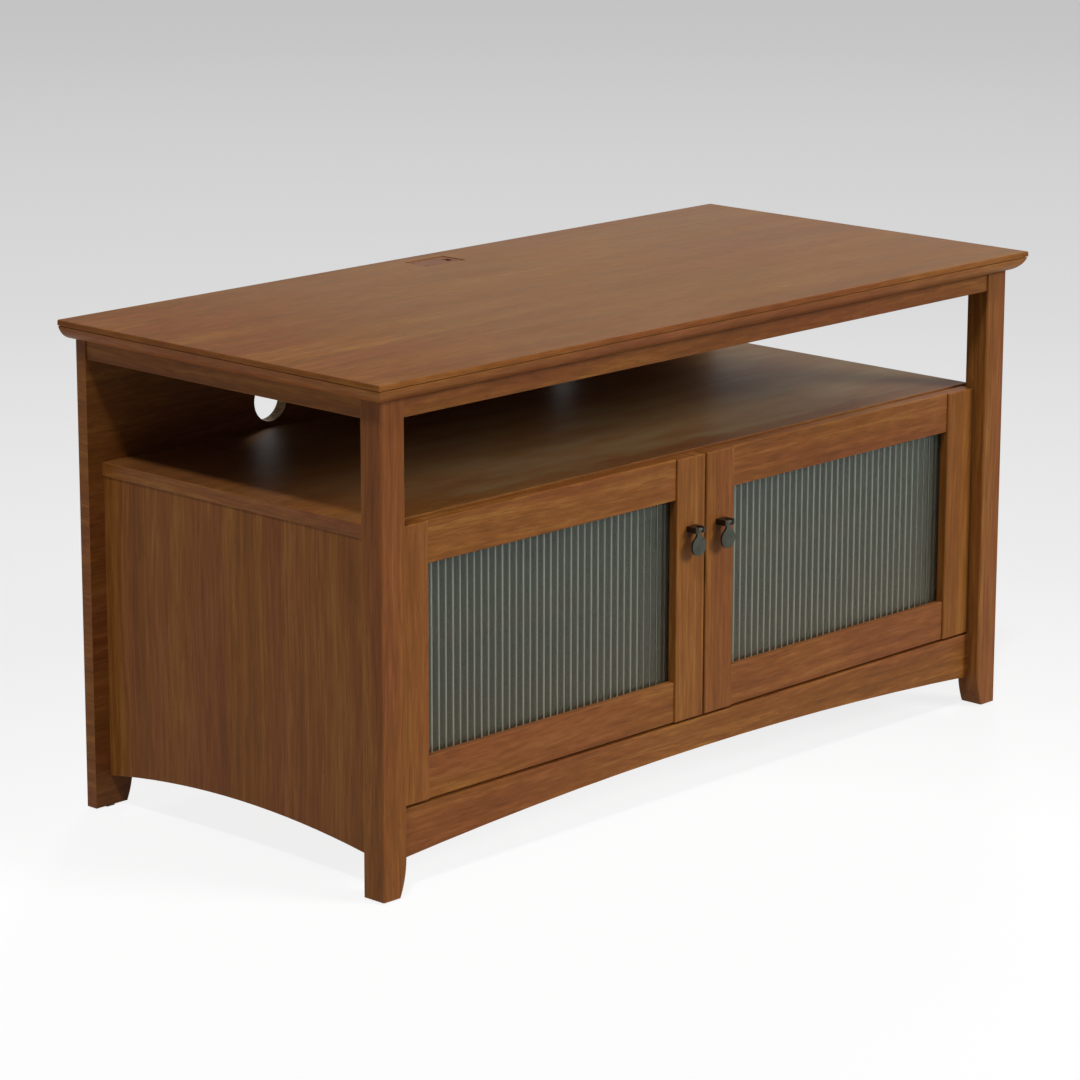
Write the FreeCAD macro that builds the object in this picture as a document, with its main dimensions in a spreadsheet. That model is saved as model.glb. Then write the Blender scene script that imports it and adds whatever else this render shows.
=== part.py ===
import FreeCAD, Part
import math
import operator
import os
from types import SimpleNamespace

import PartDesign
import Sketcher

# A TV stand. A moulded top stands on two front posts and a back board, with an open media bay
# below it and a closed cabinet with two glazed doors below that. Millimetres, +Z up. The doors
# face -Y, and the origin is on the floor under the middle of the top.

DOC = FreeCAD.newDocument("TvStand")
SHEET = DOC.addObject("Spreadsheet::Sheet", "Dimensions")

DIMENSIONS = {
    # Top panel and its moulded edge
    "top_length": 1067.0,
    "top_depth": 497.0,
    "overall_height": 553.0,
    "top_thickness": 22.5,
    "top_lip": 6.0,
    "quirk_inset": 2.4,
    "quirk_drop": 1.2,
    "moulding_start": 0.8,
    "moulding_depth": 17.0,
    "moulding_radius": 22.5,
    "side_overhang": 18.5,
    "front_overhang": 18.0,
    "rear_overhang": 8.0,
    "top_easing": 1.5,
    # Posts and feet
    "post_width": 34.0,
    "post_depth": 29.0,
    "post_easing": 1.2,
    "foot_height": 42.0,
    "foot_inset": 9.0,
    "rear_foot_width": 54.0,
    "glide_height": 2.0,
    "glide_width": 11.0,
    # Rails under the top and under the doors
    "apron_height": 21.0,
    "apron_thickness": 18.0,
    "apron_recess": 2.0,
    "arch_spring": 36.0,
    "arch_rise": 19.0,
    "side_arch_rise": 18.0,
    "back_arch_rise": 14.0,
    # Boards of the cabinet
    "back_thickness": 15.0,
    "side_thickness": 12.0,
    "shelf_top": 393.0,
    "shelf_thickness": 15.0,
    "shelf_proud": 1.5,
    "shelf_gap": 3.0,
    "floor_thickness": 15.0,
    "divider_thickness": 15.0,
    "divider_setback": 3.0,
    "board_easing": 0.6,
    # Loose shelves and their pins
    "loose_shelf_thickness": 15.0,
    "loose_shelf_height": 232.0,
    "loose_shelf_setback": 70.0,
    "loose_shelf_play": 1.0,
    "pin_diameter": 5.0,
    "pin_bore_depth": 7.0,
    "pin_reach": 8.0,
    "pin_inset": 60.0,
    # Cable holes and the cable insert in the top
    "cable_hole_diameter": 50.0,
    "cable_hole_offset": 245.0,
    "cable_hole_rise": 6.0,
    "insert_length": 64.0,
    "insert_width": 39.0,
    "insert_edge": 21.5,
    "insert_drop": 0.8,
    "insert_wall": 2.0,
    "insert_ledge": 5.0,
    "insert_corner": 3.0,
    "cover_notch_length": 9.0,
    "cover_notch_width": 12.0,
    # Doors
    "door_recess": 15.5,
    "door_thickness": 18.0,
    "door_bottom": 92.0,
    "door_foot_gap": 2.5,
    "door_drop": 1.5,
    "door_side_gap": 3.0,
    "meeting_gap": 3.0,
    "member_width": 46.0,
    "rail_recess": 2.5,
    "door_easing": 1.0,
    "rabbet_width": 7.0,
    "rabbet_front": 11.0,
    # Reeded panes and their clips
    "pane_thickness": 3.0,
    "pane_play": 0.8,
    "pane_seat": 0.3,
    "reed_pitch": 10.6,
    "reed_flat": 0.8,
    "reed_rise": 0.7,
    "clip_length": 19.0,
    "clip_width": 14.0,
    "clip_plate": 2.0,
    "clip_inset": 70.0,
    # Concealed hinges
    "hinge_end_distance": 60.0,
    "cup_diameter": 35.0,
    "cup_depth": 14.5,
    "cup_wall": 0.8,
    "cup_edge": 3.0,
    "cup_flange_length": 56.0,
    "cup_flange_width": 22.0,
    "cup_flange_thickness": 1.2,
    "pivot_inset": 10.5,
    "pivot_depth": 7.2,
    "pivot_diameter": 2.5,
    "eye_diameter": 5.2,
    "arm_thickness": 3.0,
    "arm_width": 10.0,
    "arm_offset": 15.0,
    "arm_reach": 26.0,
    "arm_bend": 4.0,
    "plate_length": 34.0,
    "plate_height": 40.0,
    "plate_thickness": 2.5,
    # Magnetic catches
    "catch_length": 34.0,
    "catch_depth": 14.0,
    "catch_height": 12.0,
    "catch_offset": 28.0,
    "strike_length": 24.0,
    "strike_height": 10.0,
    "strike_thickness": 1.5,
    "catch_air": 0.3,
    # Drop pulls
    "pull_height": 311.0,
    "pull_width": 15.0,
    "pull_reach": 15.0,
    "pull_block_height": 6.5,
    "pull_slot_depth": 7.5,
    "pull_pin_diameter": 2.4,
    "pull_pin_setback": 3.6,
    "pull_easing": 0.8,
    "pendant_eye": 5.8,
    "pendant_thickness": 2.2,
    "pendant_neck": 6.6,
    "pendant_disc": 22.4,
    "pendant_drop": 18.5,
    "pendant_hollow": 6.0,
    # Housed joints, brackets and fits
    "tenon_length": 10.0,
    "tenon_thickness": 7.0,
    "tenon_shoulder": 5.0,
    "tongue_length": 5.0,
    "tongue_thickness": 6.0,
    "tongue_stop": 12.0,
    "door_tenon_length": 12.0,
    "door_tenon_thickness": 5.5,
    "door_tenon_shoulder": 8.0,
    "bracket_leg": 18.0,
    "bracket_width": 20.0,
    "bracket_gauge": 2.0,
    "bracket_spread": 640.0,
    "joint_play": 0.1,
    "running_play": 0.05,
}


class Size:
    """A length: its number now, and the formula that ties it to the sheet."""

    def __init__(self, number, formula):
        self.number = number
        self.formula = formula

    def __add__(self, other):
        return joined(self, "+", other)

    def __radd__(self, other):
        return joined(other, "+", self)

    def __sub__(self, other):
        return joined(self, "-", other)

    def __rsub__(self, other):
        return joined(other, "-", self)

    def __mul__(self, other):
        return joined(self, "*", other)

    def __rmul__(self, other):
        return joined(other, "*", self)

    def __truediv__(self, other):
        return joined(self, "/", other)

    def __neg__(self):
        return joined(-1, "*", self)


OPERATIONS = {"+": operator.add, "-": operator.sub, "*": operator.mul, "/": operator.truediv}


def as_size(value):
    """Take a plain number as a size too."""
    return value if isinstance(value, Size) else Size(float(value), f"({value})")


def joined(first, sign, second):
    """Join two sizes with one sign, both as numbers and as formulas."""
    first, second = as_size(first), as_size(second)
    number = OPERATIONS[sign](first.number, second.number)
    return Size(number, f"({first.formula} {sign} {second.formula})")


def square_root(size):
    """The square root of a size."""
    return Size(math.sqrt(size.number), f"sqrt({size.formula})")


def bind(thing, path, size):
    """Tie one property of an object to the sheet."""
    thing.setExpression(path, as_size(size).formula)


def fill_sheet():
    """Write the driving dimensions into the sheet and hand them back by name."""
    for row, (name, value) in enumerate(DIMENSIONS.items(), start=1):
        SHEET.set(f"A{row}", name)
        SHEET.set(f"B{row}", str(value))
        SHEET.setAlias(f"B{row}", name)
    DOC.recompute()
    sizes = {name: Size(value, f"Dimensions.{name}") for name, value in DIMENSIONS.items()}
    return SimpleNamespace(**sizes)


S = fill_sheet()

# Each plane: its role, the axes that lie in it, the axis along its normal, and that normal's sign.
PLANES = {
    "XY": ("XY_Plane", (0, 1), 2, 1),
    "XZ": ("XZ_Plane", (0, 2), 1, -1),
    "YZ": ("YZ_Plane", (1, 2), 0, 1),
}
PLANE_ACROSS = {0: "YZ", 1: "XZ", 2: "XY"}
NODES = {}
CUTS = []


class Piece:
    """One body with its sketches. Places are given in the stand's frame and kept in the body's own."""

    def __init__(self, label, corner, exported=True):
        self.label = label
        self.body = DOC.addObject("PartDesign::Body", label)
        self.body.Label = label
        self.corner = [as_size(value) for value in corner]
        self.origin = {feature.Role: feature for feature in self.body.Origin.OriginFeatures}
        self.bores = {}
        for axis, value in zip("xyz", self.corner):
            bind(self.body, f"Placement.Base.{axis}", value)
        if exported:
            NODES[label] = self.body

    def own(self, axis, value):
        """A coordinate of the stand's frame in the body's own frame."""
        return as_size(value) - self.corner[axis]

    def sketch(self, plane, level):
        """An empty sketch parallel to a plane, at a level of the stand's frame."""
        role, _, normal, sign = PLANES[plane]
        sketch = self.body.newObject("Sketcher::SketchObject", f"{self.label}_sketch")
        sketch.AttachmentSupport = [(self.origin[role], "")]
        sketch.MapMode = "FlatFace"
        bind(sketch, "AttachmentOffset.Base.z", sign * self.own(normal, level))
        return sketch

    def outline(self, plane, level, corners, arcs=None, closed=True):
        """An outline through corners. arcs gives a side's radius and its bulge, 1 to the left of travel."""
        sketch = self.sketch(plane, level)
        first, second = PLANES[plane][1]
        points = [(self.own(first, a), self.own(second, b)) for a, b in corners]
        count = len(points) if closed else len(points) - 1
        sides = []
        for number in range(count):
            stop = points[(number + 1) % len(points)]
            sides.append(add_side(sketch, points[number], stop, (arcs or {}).get(number)))
        for number in range(count):
            geometry, head, tail = sides[number]
            lock(sketch, geometry, head, points[number])
            if closed or number + 1 < count:
                next_side, next_head, _ = sides[(number + 1) % count]
                sketch.addConstraint(Sketcher.Constraint("Coincident", geometry, tail, next_side, next_head))
            else:
                lock(sketch, geometry, tail, points[-1])
        return sketch

    def rectangle(self, plane, level, low, high):
        """A rectangle between two opposite corners."""
        return self.outline(plane, level, [low, (high[0], low[1]), high, (low[0], high[1])])

    def circles(self, plane, level, centres, diameter):
        """Equal circles in one sketch."""
        sketch = self.sketch(plane, level)
        first, second = PLANES[plane][1]
        for a, b in centres:
            point = (self.own(first, a), self.own(second, b))
            centre = FreeCAD.Vector(point[0].number, point[1].number, 0)
            circle = Part.Circle(centre, FreeCAD.Vector(0, 0, 1), as_size(diameter).number / 2)
            geometry = sketch.addGeometry(circle)
            lock(sketch, geometry, 3, point)
            dimension(sketch, Sketcher.Constraint("Diameter", geometry, as_size(diameter).number), diameter)
        return sketch

    def pad(self, plane, sketch, length, toward=1):
        """Give a sketch a thickness towards the positive or the negative end of its normal axis."""
        feature = self.body.newObject("PartDesign::Pad", f"{self.label}_pad")
        feature.Profile = sketch
        feature.Reversed = toward * PLANES[plane][3] < 0
        bind(feature, "Length", length)
        return feature

    def cut(self, plane, sketch, depth, toward):
        """Cut a sketch into the body towards one end of its normal axis."""
        feature = self.body.newObject("PartDesign::Pocket", f"{self.label}_cut")
        feature.Profile = sketch
        feature.Reversed = toward * PLANES[plane][3] > 0
        bind(feature, "Length", depth)
        CUTS.append(feature)
        return feature

    def drill(self, axis, level, toward, centre, diameter, depth):
        """Note a round bore. Bores of one kind are cut together once the body is shaped."""
        diameter, depth = as_size(diameter), as_size(depth)
        level = as_size(level)
        key = (axis, level.formula, toward, diameter.formula, depth.formula)
        self.bores.setdefault(key, (level, diameter, depth, []))[3].append(centre)

    def cut_bores(self):
        """Cut the bores noted so far."""
        for (axis, _, toward, _, _), (level, diameter, depth, centres) in self.bores.items():
            plane = PLANE_ACROSS[axis]
            self.cut(plane, self.circles(plane, level, centres, diameter), depth, toward)
        self.bores = {}

    def bevel(self, size, wanted):
        """Bevel the edges that a test picks, in the body's own frame."""
        DOC.recompute()
        tip = self.body.Tip
        names = [f"Edge{n}" for n, edge in enumerate(tip.Shape.Edges, start=1) if wanted(edge)]
        feature = self.body.newObject("PartDesign::Chamfer", f"{self.label}_bevel")
        feature.Base = (tip, names)
        bind(feature, "Size", size)


def add_side(sketch, start, stop, arc):
    """Add a straight or round side. Returns its number and the positions of its head and tail."""
    a = FreeCAD.Vector(start[0].number, start[1].number, 0)
    b = FreeCAD.Vector(stop[0].number, stop[1].number, 0)
    if arc is None:
        return sketch.addGeometry(Part.LineSegment(a, b)), 1, 2
    radius, bulge = arc
    along = b - a
    sagitta = radius.number - math.sqrt(radius.number ** 2 - (along.Length / 2) ** 2)
    left = FreeCAD.Vector(-along.y, along.x, 0).normalize()
    middle = (a + b) * 0.5 + left * (sagitta * bulge)
    geometry = sketch.addGeometry(Part.Arc(a, middle, b))
    dimension(sketch, Sketcher.Constraint("Radius", geometry, radius.number), radius)
    if (sketch.getPoint(geometry, 1) - a).Length < (sketch.getPoint(geometry, 2) - a).Length:
        return geometry, 1, 2
    return geometry, 2, 1


def dimension(sketch, constraint, size):
    """Add a dimension to a sketch and tie it to the sheet."""
    index = sketch.addConstraint(constraint)
    sketch.renameConstraint(index, f"size_{index}")
    bind(sketch, f"Constraints.size_{index}", size)


def lock(sketch, geometry, position, point):
    """Hold one point of a sketch at its two distances from the sketch's origin."""
    for kind, size in zip(("DistanceX", "DistanceY"), point):
        dimension(sketch, Sketcher.Constraint(kind, -1, 1, geometry, position, size.number), size)


def board(label, low, high):
    """A square-edged board between two opposite corners."""
    piece = Piece(label, low)
    piece.pad("XY", piece.rectangle("XY", low[2], low[:2], high[:2]), as_size(high[2]) - low[2])
    return piece


def span(side, near, far):
    """The low and high x of a piece between two distances from the middle, on one side of it."""
    return (near, far) if side > 0 else (-far, -near)


def runs_along(axis, shortest=0.0):
    """Test for straight edges that run along one axis."""
    def test(edge):
        box = edge.BoundBox
        lengths = (box.XLength, box.YLength, box.ZLength)
        return lengths[axis] > shortest and abs(lengths[axis] - edge.Length) < 1e-6
    return test


def lies_at(axis, value):
    """Test for edges that lie wholly in one plane of the body's own frame."""
    def test(edge):
        return all(abs(vertex.Point[axis] - value) < 1e-4 for vertex in edge.Vertexes)
    return test


def both(first, second):
    """Test for edges that pass two tests."""
    return lambda edge: first(edge) and second(edge)


def arc_radius(chord, rise):
    """The radius of an arc from its chord and its rise."""
    return (chord * chord / 4 + rise * rise) / (2 * rise)


def foot_radius():
    """The radius of the curve that draws a foot in, upright where it starts."""
    return (S.foot_height * S.foot_height + S.foot_inset * S.foot_inset) / (2 * S.foot_inset)


# Levels and faces that the pieces share
HALF_FRAME = S.top_length / 2 - S.side_overhang
POST_IN = HALF_FRAME - S.post_width
POST_FRONT = S.front_overhang - S.top_depth / 2
POST_BACK = POST_FRONT + S.post_depth
BACK_REAR = S.top_depth / 2 - S.rear_overhang
BACK_FACE = BACK_REAR - S.back_thickness
UNDER_TOP = S.overall_height - S.top_thickness
APRON_BOTTOM = UNDER_TOP - S.apron_height
FEET = S.glide_height
DOOR_FRONT = POST_FRONT + S.door_recess
DOOR_BACK = DOOR_FRONT + S.door_thickness
DOOR_TOP = S.shelf_top - S.door_drop
DOOR_OUT = POST_IN - S.door_side_gap
DOOR_IN = S.meeting_gap / 2
RAIL_TOP = S.door_bottom - S.door_foot_gap
FLOOR_UNDER = RAIL_TOP - S.floor_thickness
SIDE_OUT = POST_IN + S.side_thickness
SHELF_UNDER = S.shelf_top - S.shelf_thickness
SHELF_FRONT = DOOR_BACK + S.shelf_gap
SHELF_HALF = SIDE_OUT + S.shelf_proud
DIVIDER_FRONT = DOOR_BACK + S.divider_setback
SIGHT_NEAR = DOOR_IN + S.member_width
SIGHT_FAR = DOOR_OUT - S.member_width
SIGHT_LOW = S.door_bottom + S.member_width
SIGHT_HIGH = DOOR_TOP - S.member_width
PIVOT_X = POST_IN - S.pivot_inset
PIVOT_Y = DOOR_FRONT + S.pivot_depth
SIDES = {"left": -1, "right": 1}


def tenon(piece, host, axis, toward, level, low, high, length):
    """A tenon or tongue on one piece and the mortise or groove for it in another.

    level is the face that they meet at, across the axis. low and high are the tenon's corners in that face.
    """
    plane = PLANE_ACROSS[axis]
    piece.pad(plane, piece.rectangle(plane, level, low, high), length, toward)
    play = S.joint_play
    low = tuple(value - play for value in low)
    high = tuple(value + play for value in high)
    host.cut(plane, host.rectangle(plane, level, low, high), length + play, toward)


def point_of(place):
    """A place as a vector of numbers."""
    return FreeCAD.Vector(*[as_size(value).number for value in place])


def turned(along, outward):
    """The turn that takes +X to one direction and +Z to another."""
    return FreeCAD.Rotation(along, outward.cross(along), outward, "XZY")


def top_panel():
    """The top: a lip, a quirk and a convex moulding on the front and the ends, square at the rear."""
    half_length, half_depth = S.top_length / 2, S.top_depth / 2
    top = board("top_panel", (-half_length, -half_depth, UNDER_TOP),
                (half_length, half_depth, S.overall_height))
    waste = S.moulding_depth
    lip_under = S.overall_height - S.top_lip
    quirk_x = S.quirk_inset - half_length
    quirk_under = lip_under - S.quirk_drop
    curve_foot = (S.moulding_depth - half_length, UNDER_TOP)
    profile = top.outline("XZ", half_depth, [
        (-half_length - waste, UNDER_TOP - waste), (-half_length - waste, lip_under), (quirk_x, lip_under),
        (quirk_x, quirk_under), (S.moulding_start - half_length, quirk_under), curve_foot,
        (S.moulding_depth - half_length, UNDER_TOP - waste)],
        arcs={4: (S.moulding_radius, -1)})
    path = top.outline("XY", UNDER_TOP, [
        (-half_length, half_depth), (-half_length, -half_depth), (half_length, -half_depth),
        (half_length, half_depth)], closed=False)
    moulding = top.body.newObject("PartDesign::SubtractivePipe", "top_panel_moulding")
    moulding.Profile = profile
    moulding.Spine = (path, ["Edge1", "Edge2", "Edge3"])
    moulding.Transition = "Right corner"
    CUTS.append(moulding)
    top.bevel(S.top_easing, lies_at(2, S.top_thickness.number))
    rear = half_depth - S.insert_edge
    low, high = (-S.insert_length / 2, rear - S.insert_width), (S.insert_length / 2, rear)
    rebate = top.rectangle("XY", S.overall_height, low, high)
    top.cut("XY", rebate, S.insert_drop + S.insert_wall, -1)
    inner_low = (low[0] + S.insert_ledge, low[1] + S.insert_ledge)
    inner_high = (high[0] - S.insert_ledge, high[1] - S.insert_ledge)
    top.cut("XY", top.rectangle("XY", S.overall_height, inner_low, inner_high), S.top_thickness, -1)


def cable_insert():
    """The cable insert: a flanged sleeve let into the top, and a lift-out cover with a cable notch."""
    rear = S.top_depth / 2 - S.insert_edge
    x, play = S.insert_length / 2 - S.joint_play, S.joint_play
    flange_top = S.overall_height - S.insert_drop
    flange_under = flange_top - S.insert_wall
    low, high = (-x, rear - S.insert_width + play), (x, rear - play)

    def inset(amount):
        """The flange's corners drawn in by one amount."""
        return (low[0] + amount, low[1] + amount), (high[0] - amount, high[1] - amount)

    frame = board("cable_insert_frame", (*low, flange_under), (*high, flange_top))
    sleeve = frame.rectangle("XY", flange_under, *inset(S.insert_ledge))
    frame.pad("XY", sleeve, flange_under - UNDER_TOP, -1)
    throat = frame.rectangle("XY", flange_top, *inset(S.insert_ledge + 2 * S.insert_wall))
    frame.cut("XY", throat, flange_top - UNDER_TOP, -1)
    seat = frame.rectangle("XY", flange_top, *inset(S.insert_ledge + S.insert_wall))
    frame.cut("XY", seat, S.insert_wall, -1)
    cover_low, cover_high = inset(S.insert_ledge + S.insert_wall + play)
    cover = board("cable_insert_cover", (*cover_low, flange_under), (*cover_high, flange_top))
    cover.bevel(S.insert_corner, runs_along(2))
    middle, half = (cover_low[1] + cover_high[1]) / 2, S.cover_notch_width / 2
    notch_low = (cover_high[0] - S.cover_notch_length, middle - half)
    sketch = cover.rectangle("XY", flange_top, notch_low, (cover_high[0], middle + half))
    cover.cut("XY", sketch, S.insert_wall, -1)


def post(name, side):
    """A front post. The inner edge of its foot curves in towards the floor."""
    low, high = span(side, POST_IN, HALF_FRAME)
    piece = Piece(f"{name}_post", (low, POST_FRONT, FEET))
    outer, inner = side * HALF_FRAME, side * POST_IN
    face = piece.outline("XZ", POST_FRONT, [
        (outer, FEET), (inner + side * S.foot_inset, FEET), (inner, FEET + S.foot_height),
        (inner, UNDER_TOP), (outer, UNDER_TOP)], arcs={1: (foot_radius(), side)})
    piece.pad("XZ", face, S.post_depth)
    piece.bevel(S.post_easing, both(runs_along(2, S.foot_height.number), lies_at(1, 0.0)))
    return piece


def back_panel():
    """The back board, which is also the rear feet, with an arch between them and two cable holes."""
    back = Piece("back_panel", (-HALF_FRAME, BACK_FACE, FEET))
    foot = HALF_FRAME - S.rear_foot_width
    toe = foot + S.foot_inset
    spring = FEET + S.foot_height
    face = back.outline("XZ", BACK_FACE, [
        (-HALF_FRAME, FEET), (-toe, FEET), (-foot, spring), (foot, spring), (toe, FEET),
        (HALF_FRAME, FEET), (HALF_FRAME, UNDER_TOP), (-HALF_FRAME, UNDER_TOP)],
        arcs={1: (foot_radius(), -1), 2: (arc_radius(2 * foot, S.back_arch_rise), 1),
              3: (foot_radius(), -1)})
    back.pad("XZ", face, S.back_thickness)
    height = S.shelf_top + S.cable_hole_rise + S.cable_hole_diameter / 2
    for side in SIDES.values():
        centre = (side * S.cable_hole_offset, height)
        back.drill(1, BACK_FACE, 1, centre, S.cable_hole_diameter, S.back_thickness)
    return back


def side_panel(name, side):
    """A side of the cabinet, with an arched lower edge between the post and the back panel."""
    low, high = span(side, POST_IN, SIDE_OUT)
    piece = Piece(f"{name}_side_panel", (low, POST_BACK, S.arch_spring))
    chord = BACK_FACE - POST_BACK
    face = piece.outline("YZ", low, [
        (POST_BACK, S.arch_spring), (BACK_FACE, S.arch_spring), (BACK_FACE, SHELF_UNDER),
        (POST_BACK, SHELF_UNDER)], arcs={0: (arc_radius(chord, S.side_arch_rise), 1)})
    piece.pad("YZ", face, S.side_thickness)
    bore = S.pin_diameter + 2 * S.joint_play
    for y in pin_rows():
        piece.drill(0, side * POST_IN, side, (y, pin_height()), bore, S.pin_bore_depth)
    return piece


def pin_rows():
    """The depths at which the loose shelves rest on their pins."""
    return (DOOR_BACK + S.loose_shelf_setback + S.pin_inset, BACK_FACE - S.pin_inset)


def pin_height():
    """The height of the pins, which the loose shelves lie on."""
    return S.loose_shelf_height - (S.loose_shelf_thickness + S.pin_diameter) / 2


def arched_rail():
    """The rail under the doors, arched along its lower edge."""
    rail = Piece("arched_rail", (-POST_IN, DOOR_FRONT, S.arch_spring))
    face = rail.outline("XZ", DOOR_FRONT, [
        (-POST_IN, S.arch_spring), (POST_IN, S.arch_spring), (POST_IN, RAIL_TOP), (-POST_IN, RAIL_TOP)],
        arcs={0: (arc_radius(2 * POST_IN, S.arch_rise), 1)})
    rail.pad("XZ", face, S.door_thickness)
    rail.bevel(S.board_easing, both(lies_at(1, 0.0), lies_at(2, (RAIL_TOP - S.arch_spring).number)))
    return rail


def carcass():
    """The boards that stay still, with the joints between them."""
    top_panel()
    cable_insert()
    posts = {name: post(name, side) for name, side in SIDES.items()}
    back = back_panel()
    walls = {name: side_panel(name, side) for name, side in SIDES.items()}
    rail = arched_rail()

    apron_front = POST_FRONT + S.apron_recess
    apron = board("front_apron", (-POST_IN, apron_front, APRON_BOTTOM),
                  (POST_IN, apron_front + S.apron_thickness, UNDER_TOP))
    apron.bevel(S.board_easing, both(lies_at(1, 0.0), lies_at(2, 0.0)))
    side_aprons = {}
    for name, side in SIDES.items():
        outer = HALF_FRAME - S.apron_recess
        low, high = span(side, outer - S.apron_thickness, outer)
        piece = board(f"{name}_apron", (low, POST_BACK, APRON_BOTTOM), (high, BACK_FACE, UNDER_TOP))
        outside = 0.0 if side < 0 else S.apron_thickness.number
        piece.bevel(S.board_easing, both(lies_at(0, outside), lies_at(2, 0.0)))
        side_aprons[name] = piece

    shelf = board("media_shelf", (-SHELF_HALF, SHELF_FRONT, SHELF_UNDER),
                  (SHELF_HALF, BACK_FACE, S.shelf_top))
    shelf.bevel(S.board_easing, lies_at(2, S.shelf_thickness.number))
    floor = board("bottom_panel", (-POST_IN, DOOR_BACK, FLOOR_UNDER), (POST_IN, BACK_FACE, RAIL_TOP))
    half = S.divider_thickness / 2
    divider = board("centre_divider", (-half, DIVIDER_FRONT, RAIL_TOP), (half, BACK_FACE, SHELF_UNDER))
    for y in pin_rows():
        divider.drill(0, -half, 1, (y, pin_height()), S.pin_diameter + 2 * S.joint_play, S.divider_thickness)

    shelf_front = DOOR_BACK + S.loose_shelf_setback
    bottom = S.loose_shelf_height - S.loose_shelf_thickness / 2
    for name, side in SIDES.items():
        low, high = span(side, half + S.loose_shelf_play, POST_IN - S.loose_shelf_play)
        loose = board(f"{name}_inner_shelf", (low, shelf_front, bottom),
                      (high, BACK_FACE - S.loose_shelf_play, bottom + S.loose_shelf_thickness))
        loose.bevel(S.board_easing, lies_at(1, 0.0))

    join_frame(posts, walls, rail, apron, side_aprons, back)
    join_cabinet(walls, rail, shelf, floor, divider)
    for piece in (*walls.values(), back, divider):
        piece.cut_bores()


def join_frame(posts, walls, rail, apron, side_aprons, back):
    """Tenons from the aprons and the arched rail, and tongues from the side panels, into posts and back."""
    shoulder, thick, length = S.tenon_shoulder, S.tenon_thickness, S.tenon_length
    low_z, high_z = APRON_BOTTOM + shoulder, UNDER_TOP - shoulder
    apron_y = POST_FRONT + S.apron_recess + (S.apron_thickness - thick) / 2
    rail_y = DOOR_FRONT + (POST_BACK - DOOR_FRONT - thick) / 2
    rail_z = S.arch_spring + S.arch_rise / 2
    wall_low, wall_high = RAIL_TOP + S.tongue_stop, SHELF_UNDER - S.tongue_stop
    for name, side in SIDES.items():
        level = side * POST_IN
        tenon(apron, posts[name], 0, side, level, (apron_y, low_z), (apron_y + thick, high_z), length)
        rail_corner = (rail_y + thick, RAIL_TOP - shoulder)
        tenon(rail, posts[name], 0, side, level, (rail_y, rail_z), rail_corner, length)
        middle = HALF_FRAME - S.apron_recess - S.apron_thickness / 2
        near, far = span(side, middle - thick / 2, middle + thick / 2)
        wall_near, wall_far = wall_tongue(side)
        for host, level, toward in ((posts[name], POST_BACK, -1), (back, BACK_FACE, 1)):
            tenon(side_aprons[name], host, 1, toward, level, (near, low_z), (far, high_z), length)
            tenon(walls[name], host, 1, toward, level, (wall_near, wall_low), (wall_far, wall_high),
                  S.tongue_length)


def wall_tongue(side):
    """The low and high x of the tongues on a side panel's edges."""
    middle = POST_IN + S.side_thickness / 2
    return span(side, middle - S.tongue_thickness / 2, middle + S.tongue_thickness / 2)


def join_cabinet(walls, rail, shelf, floor, divider):
    """Tongues along the edges of the cabinet's boards."""
    stop, length = S.tongue_stop, S.tongue_length
    floor_z = FLOOR_UNDER + (S.floor_thickness - S.tongue_thickness) / 2
    floor_top = floor_z + S.tongue_thickness
    front, rear = SHELF_FRONT + stop, BACK_FACE - stop
    for name, side in SIDES.items():
        near, far = wall_tongue(side)
        tenon(walls[name], shelf, 2, 1, SHELF_UNDER, (near, front), (far, rear), length)
        tenon(floor, walls[name], 0, side, side * POST_IN, (front, floor_z), (rear, floor_top), length)
    reach = POST_IN - stop
    tenon(floor, rail, 1, -1, DOOR_BACK, (-reach, floor_z), (reach, floor_top), length)
    half = S.tongue_thickness / 2
    tenon(divider, floor, 2, -1, RAIL_TOP, (-half, front), (half, rear), length)
    tenon(divider, shelf, 2, 1, SHELF_UNDER, (-half, front), (half, rear), length)


def group(label, master, places):
    """Copies of one solid under one name, each a solid of its own."""
    DOC.recompute()
    copies = [master.body.Shape.transformed(place.toMatrix()) for place in places]
    feature = DOC.addObject("Part::Feature", label)
    feature.Label = label
    feature.Shape = Part.makeCompound(copies)
    feature.Placement = FreeCAD.Placement()
    NODES[label] = feature


def turned_solid(label, profile):
    """A turned pattern piece about +X from its half profile, drawn in x and radius."""
    piece = Piece(label, (0, 0, 0), exported=False)
    sketch = piece.outline("XY", 0, profile)
    turning = piece.body.newObject("PartDesign::Revolution", f"{label}_turning")
    turning.Profile = sketch
    turning.ReferenceAxis = (sketch, ["H_Axis"])
    turning.Angle = 360
    return piece


def shelf_pins():
    """The pins that carry the loose shelves."""
    radius = S.pin_diameter / 2
    pin = turned_solid("pin_pattern", [
        (-S.pin_bore_depth, 0), (S.pin_reach, 0), (S.pin_reach, radius), (-S.pin_bore_depth, radius)])
    places = []
    for side in SIDES.values():
        for y in pin_rows():
            for x, way in ((side * POST_IN, -side), (side * S.divider_thickness / 2, side)):
                turn = FreeCAD.Rotation(FreeCAD.Vector(1, 0, 0), FreeCAD.Vector(way, 0, 0))
                places.append(FreeCAD.Placement(point_of((x, y, pin_height())), turn))
    group("shelf_pins", pin, places)


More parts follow.
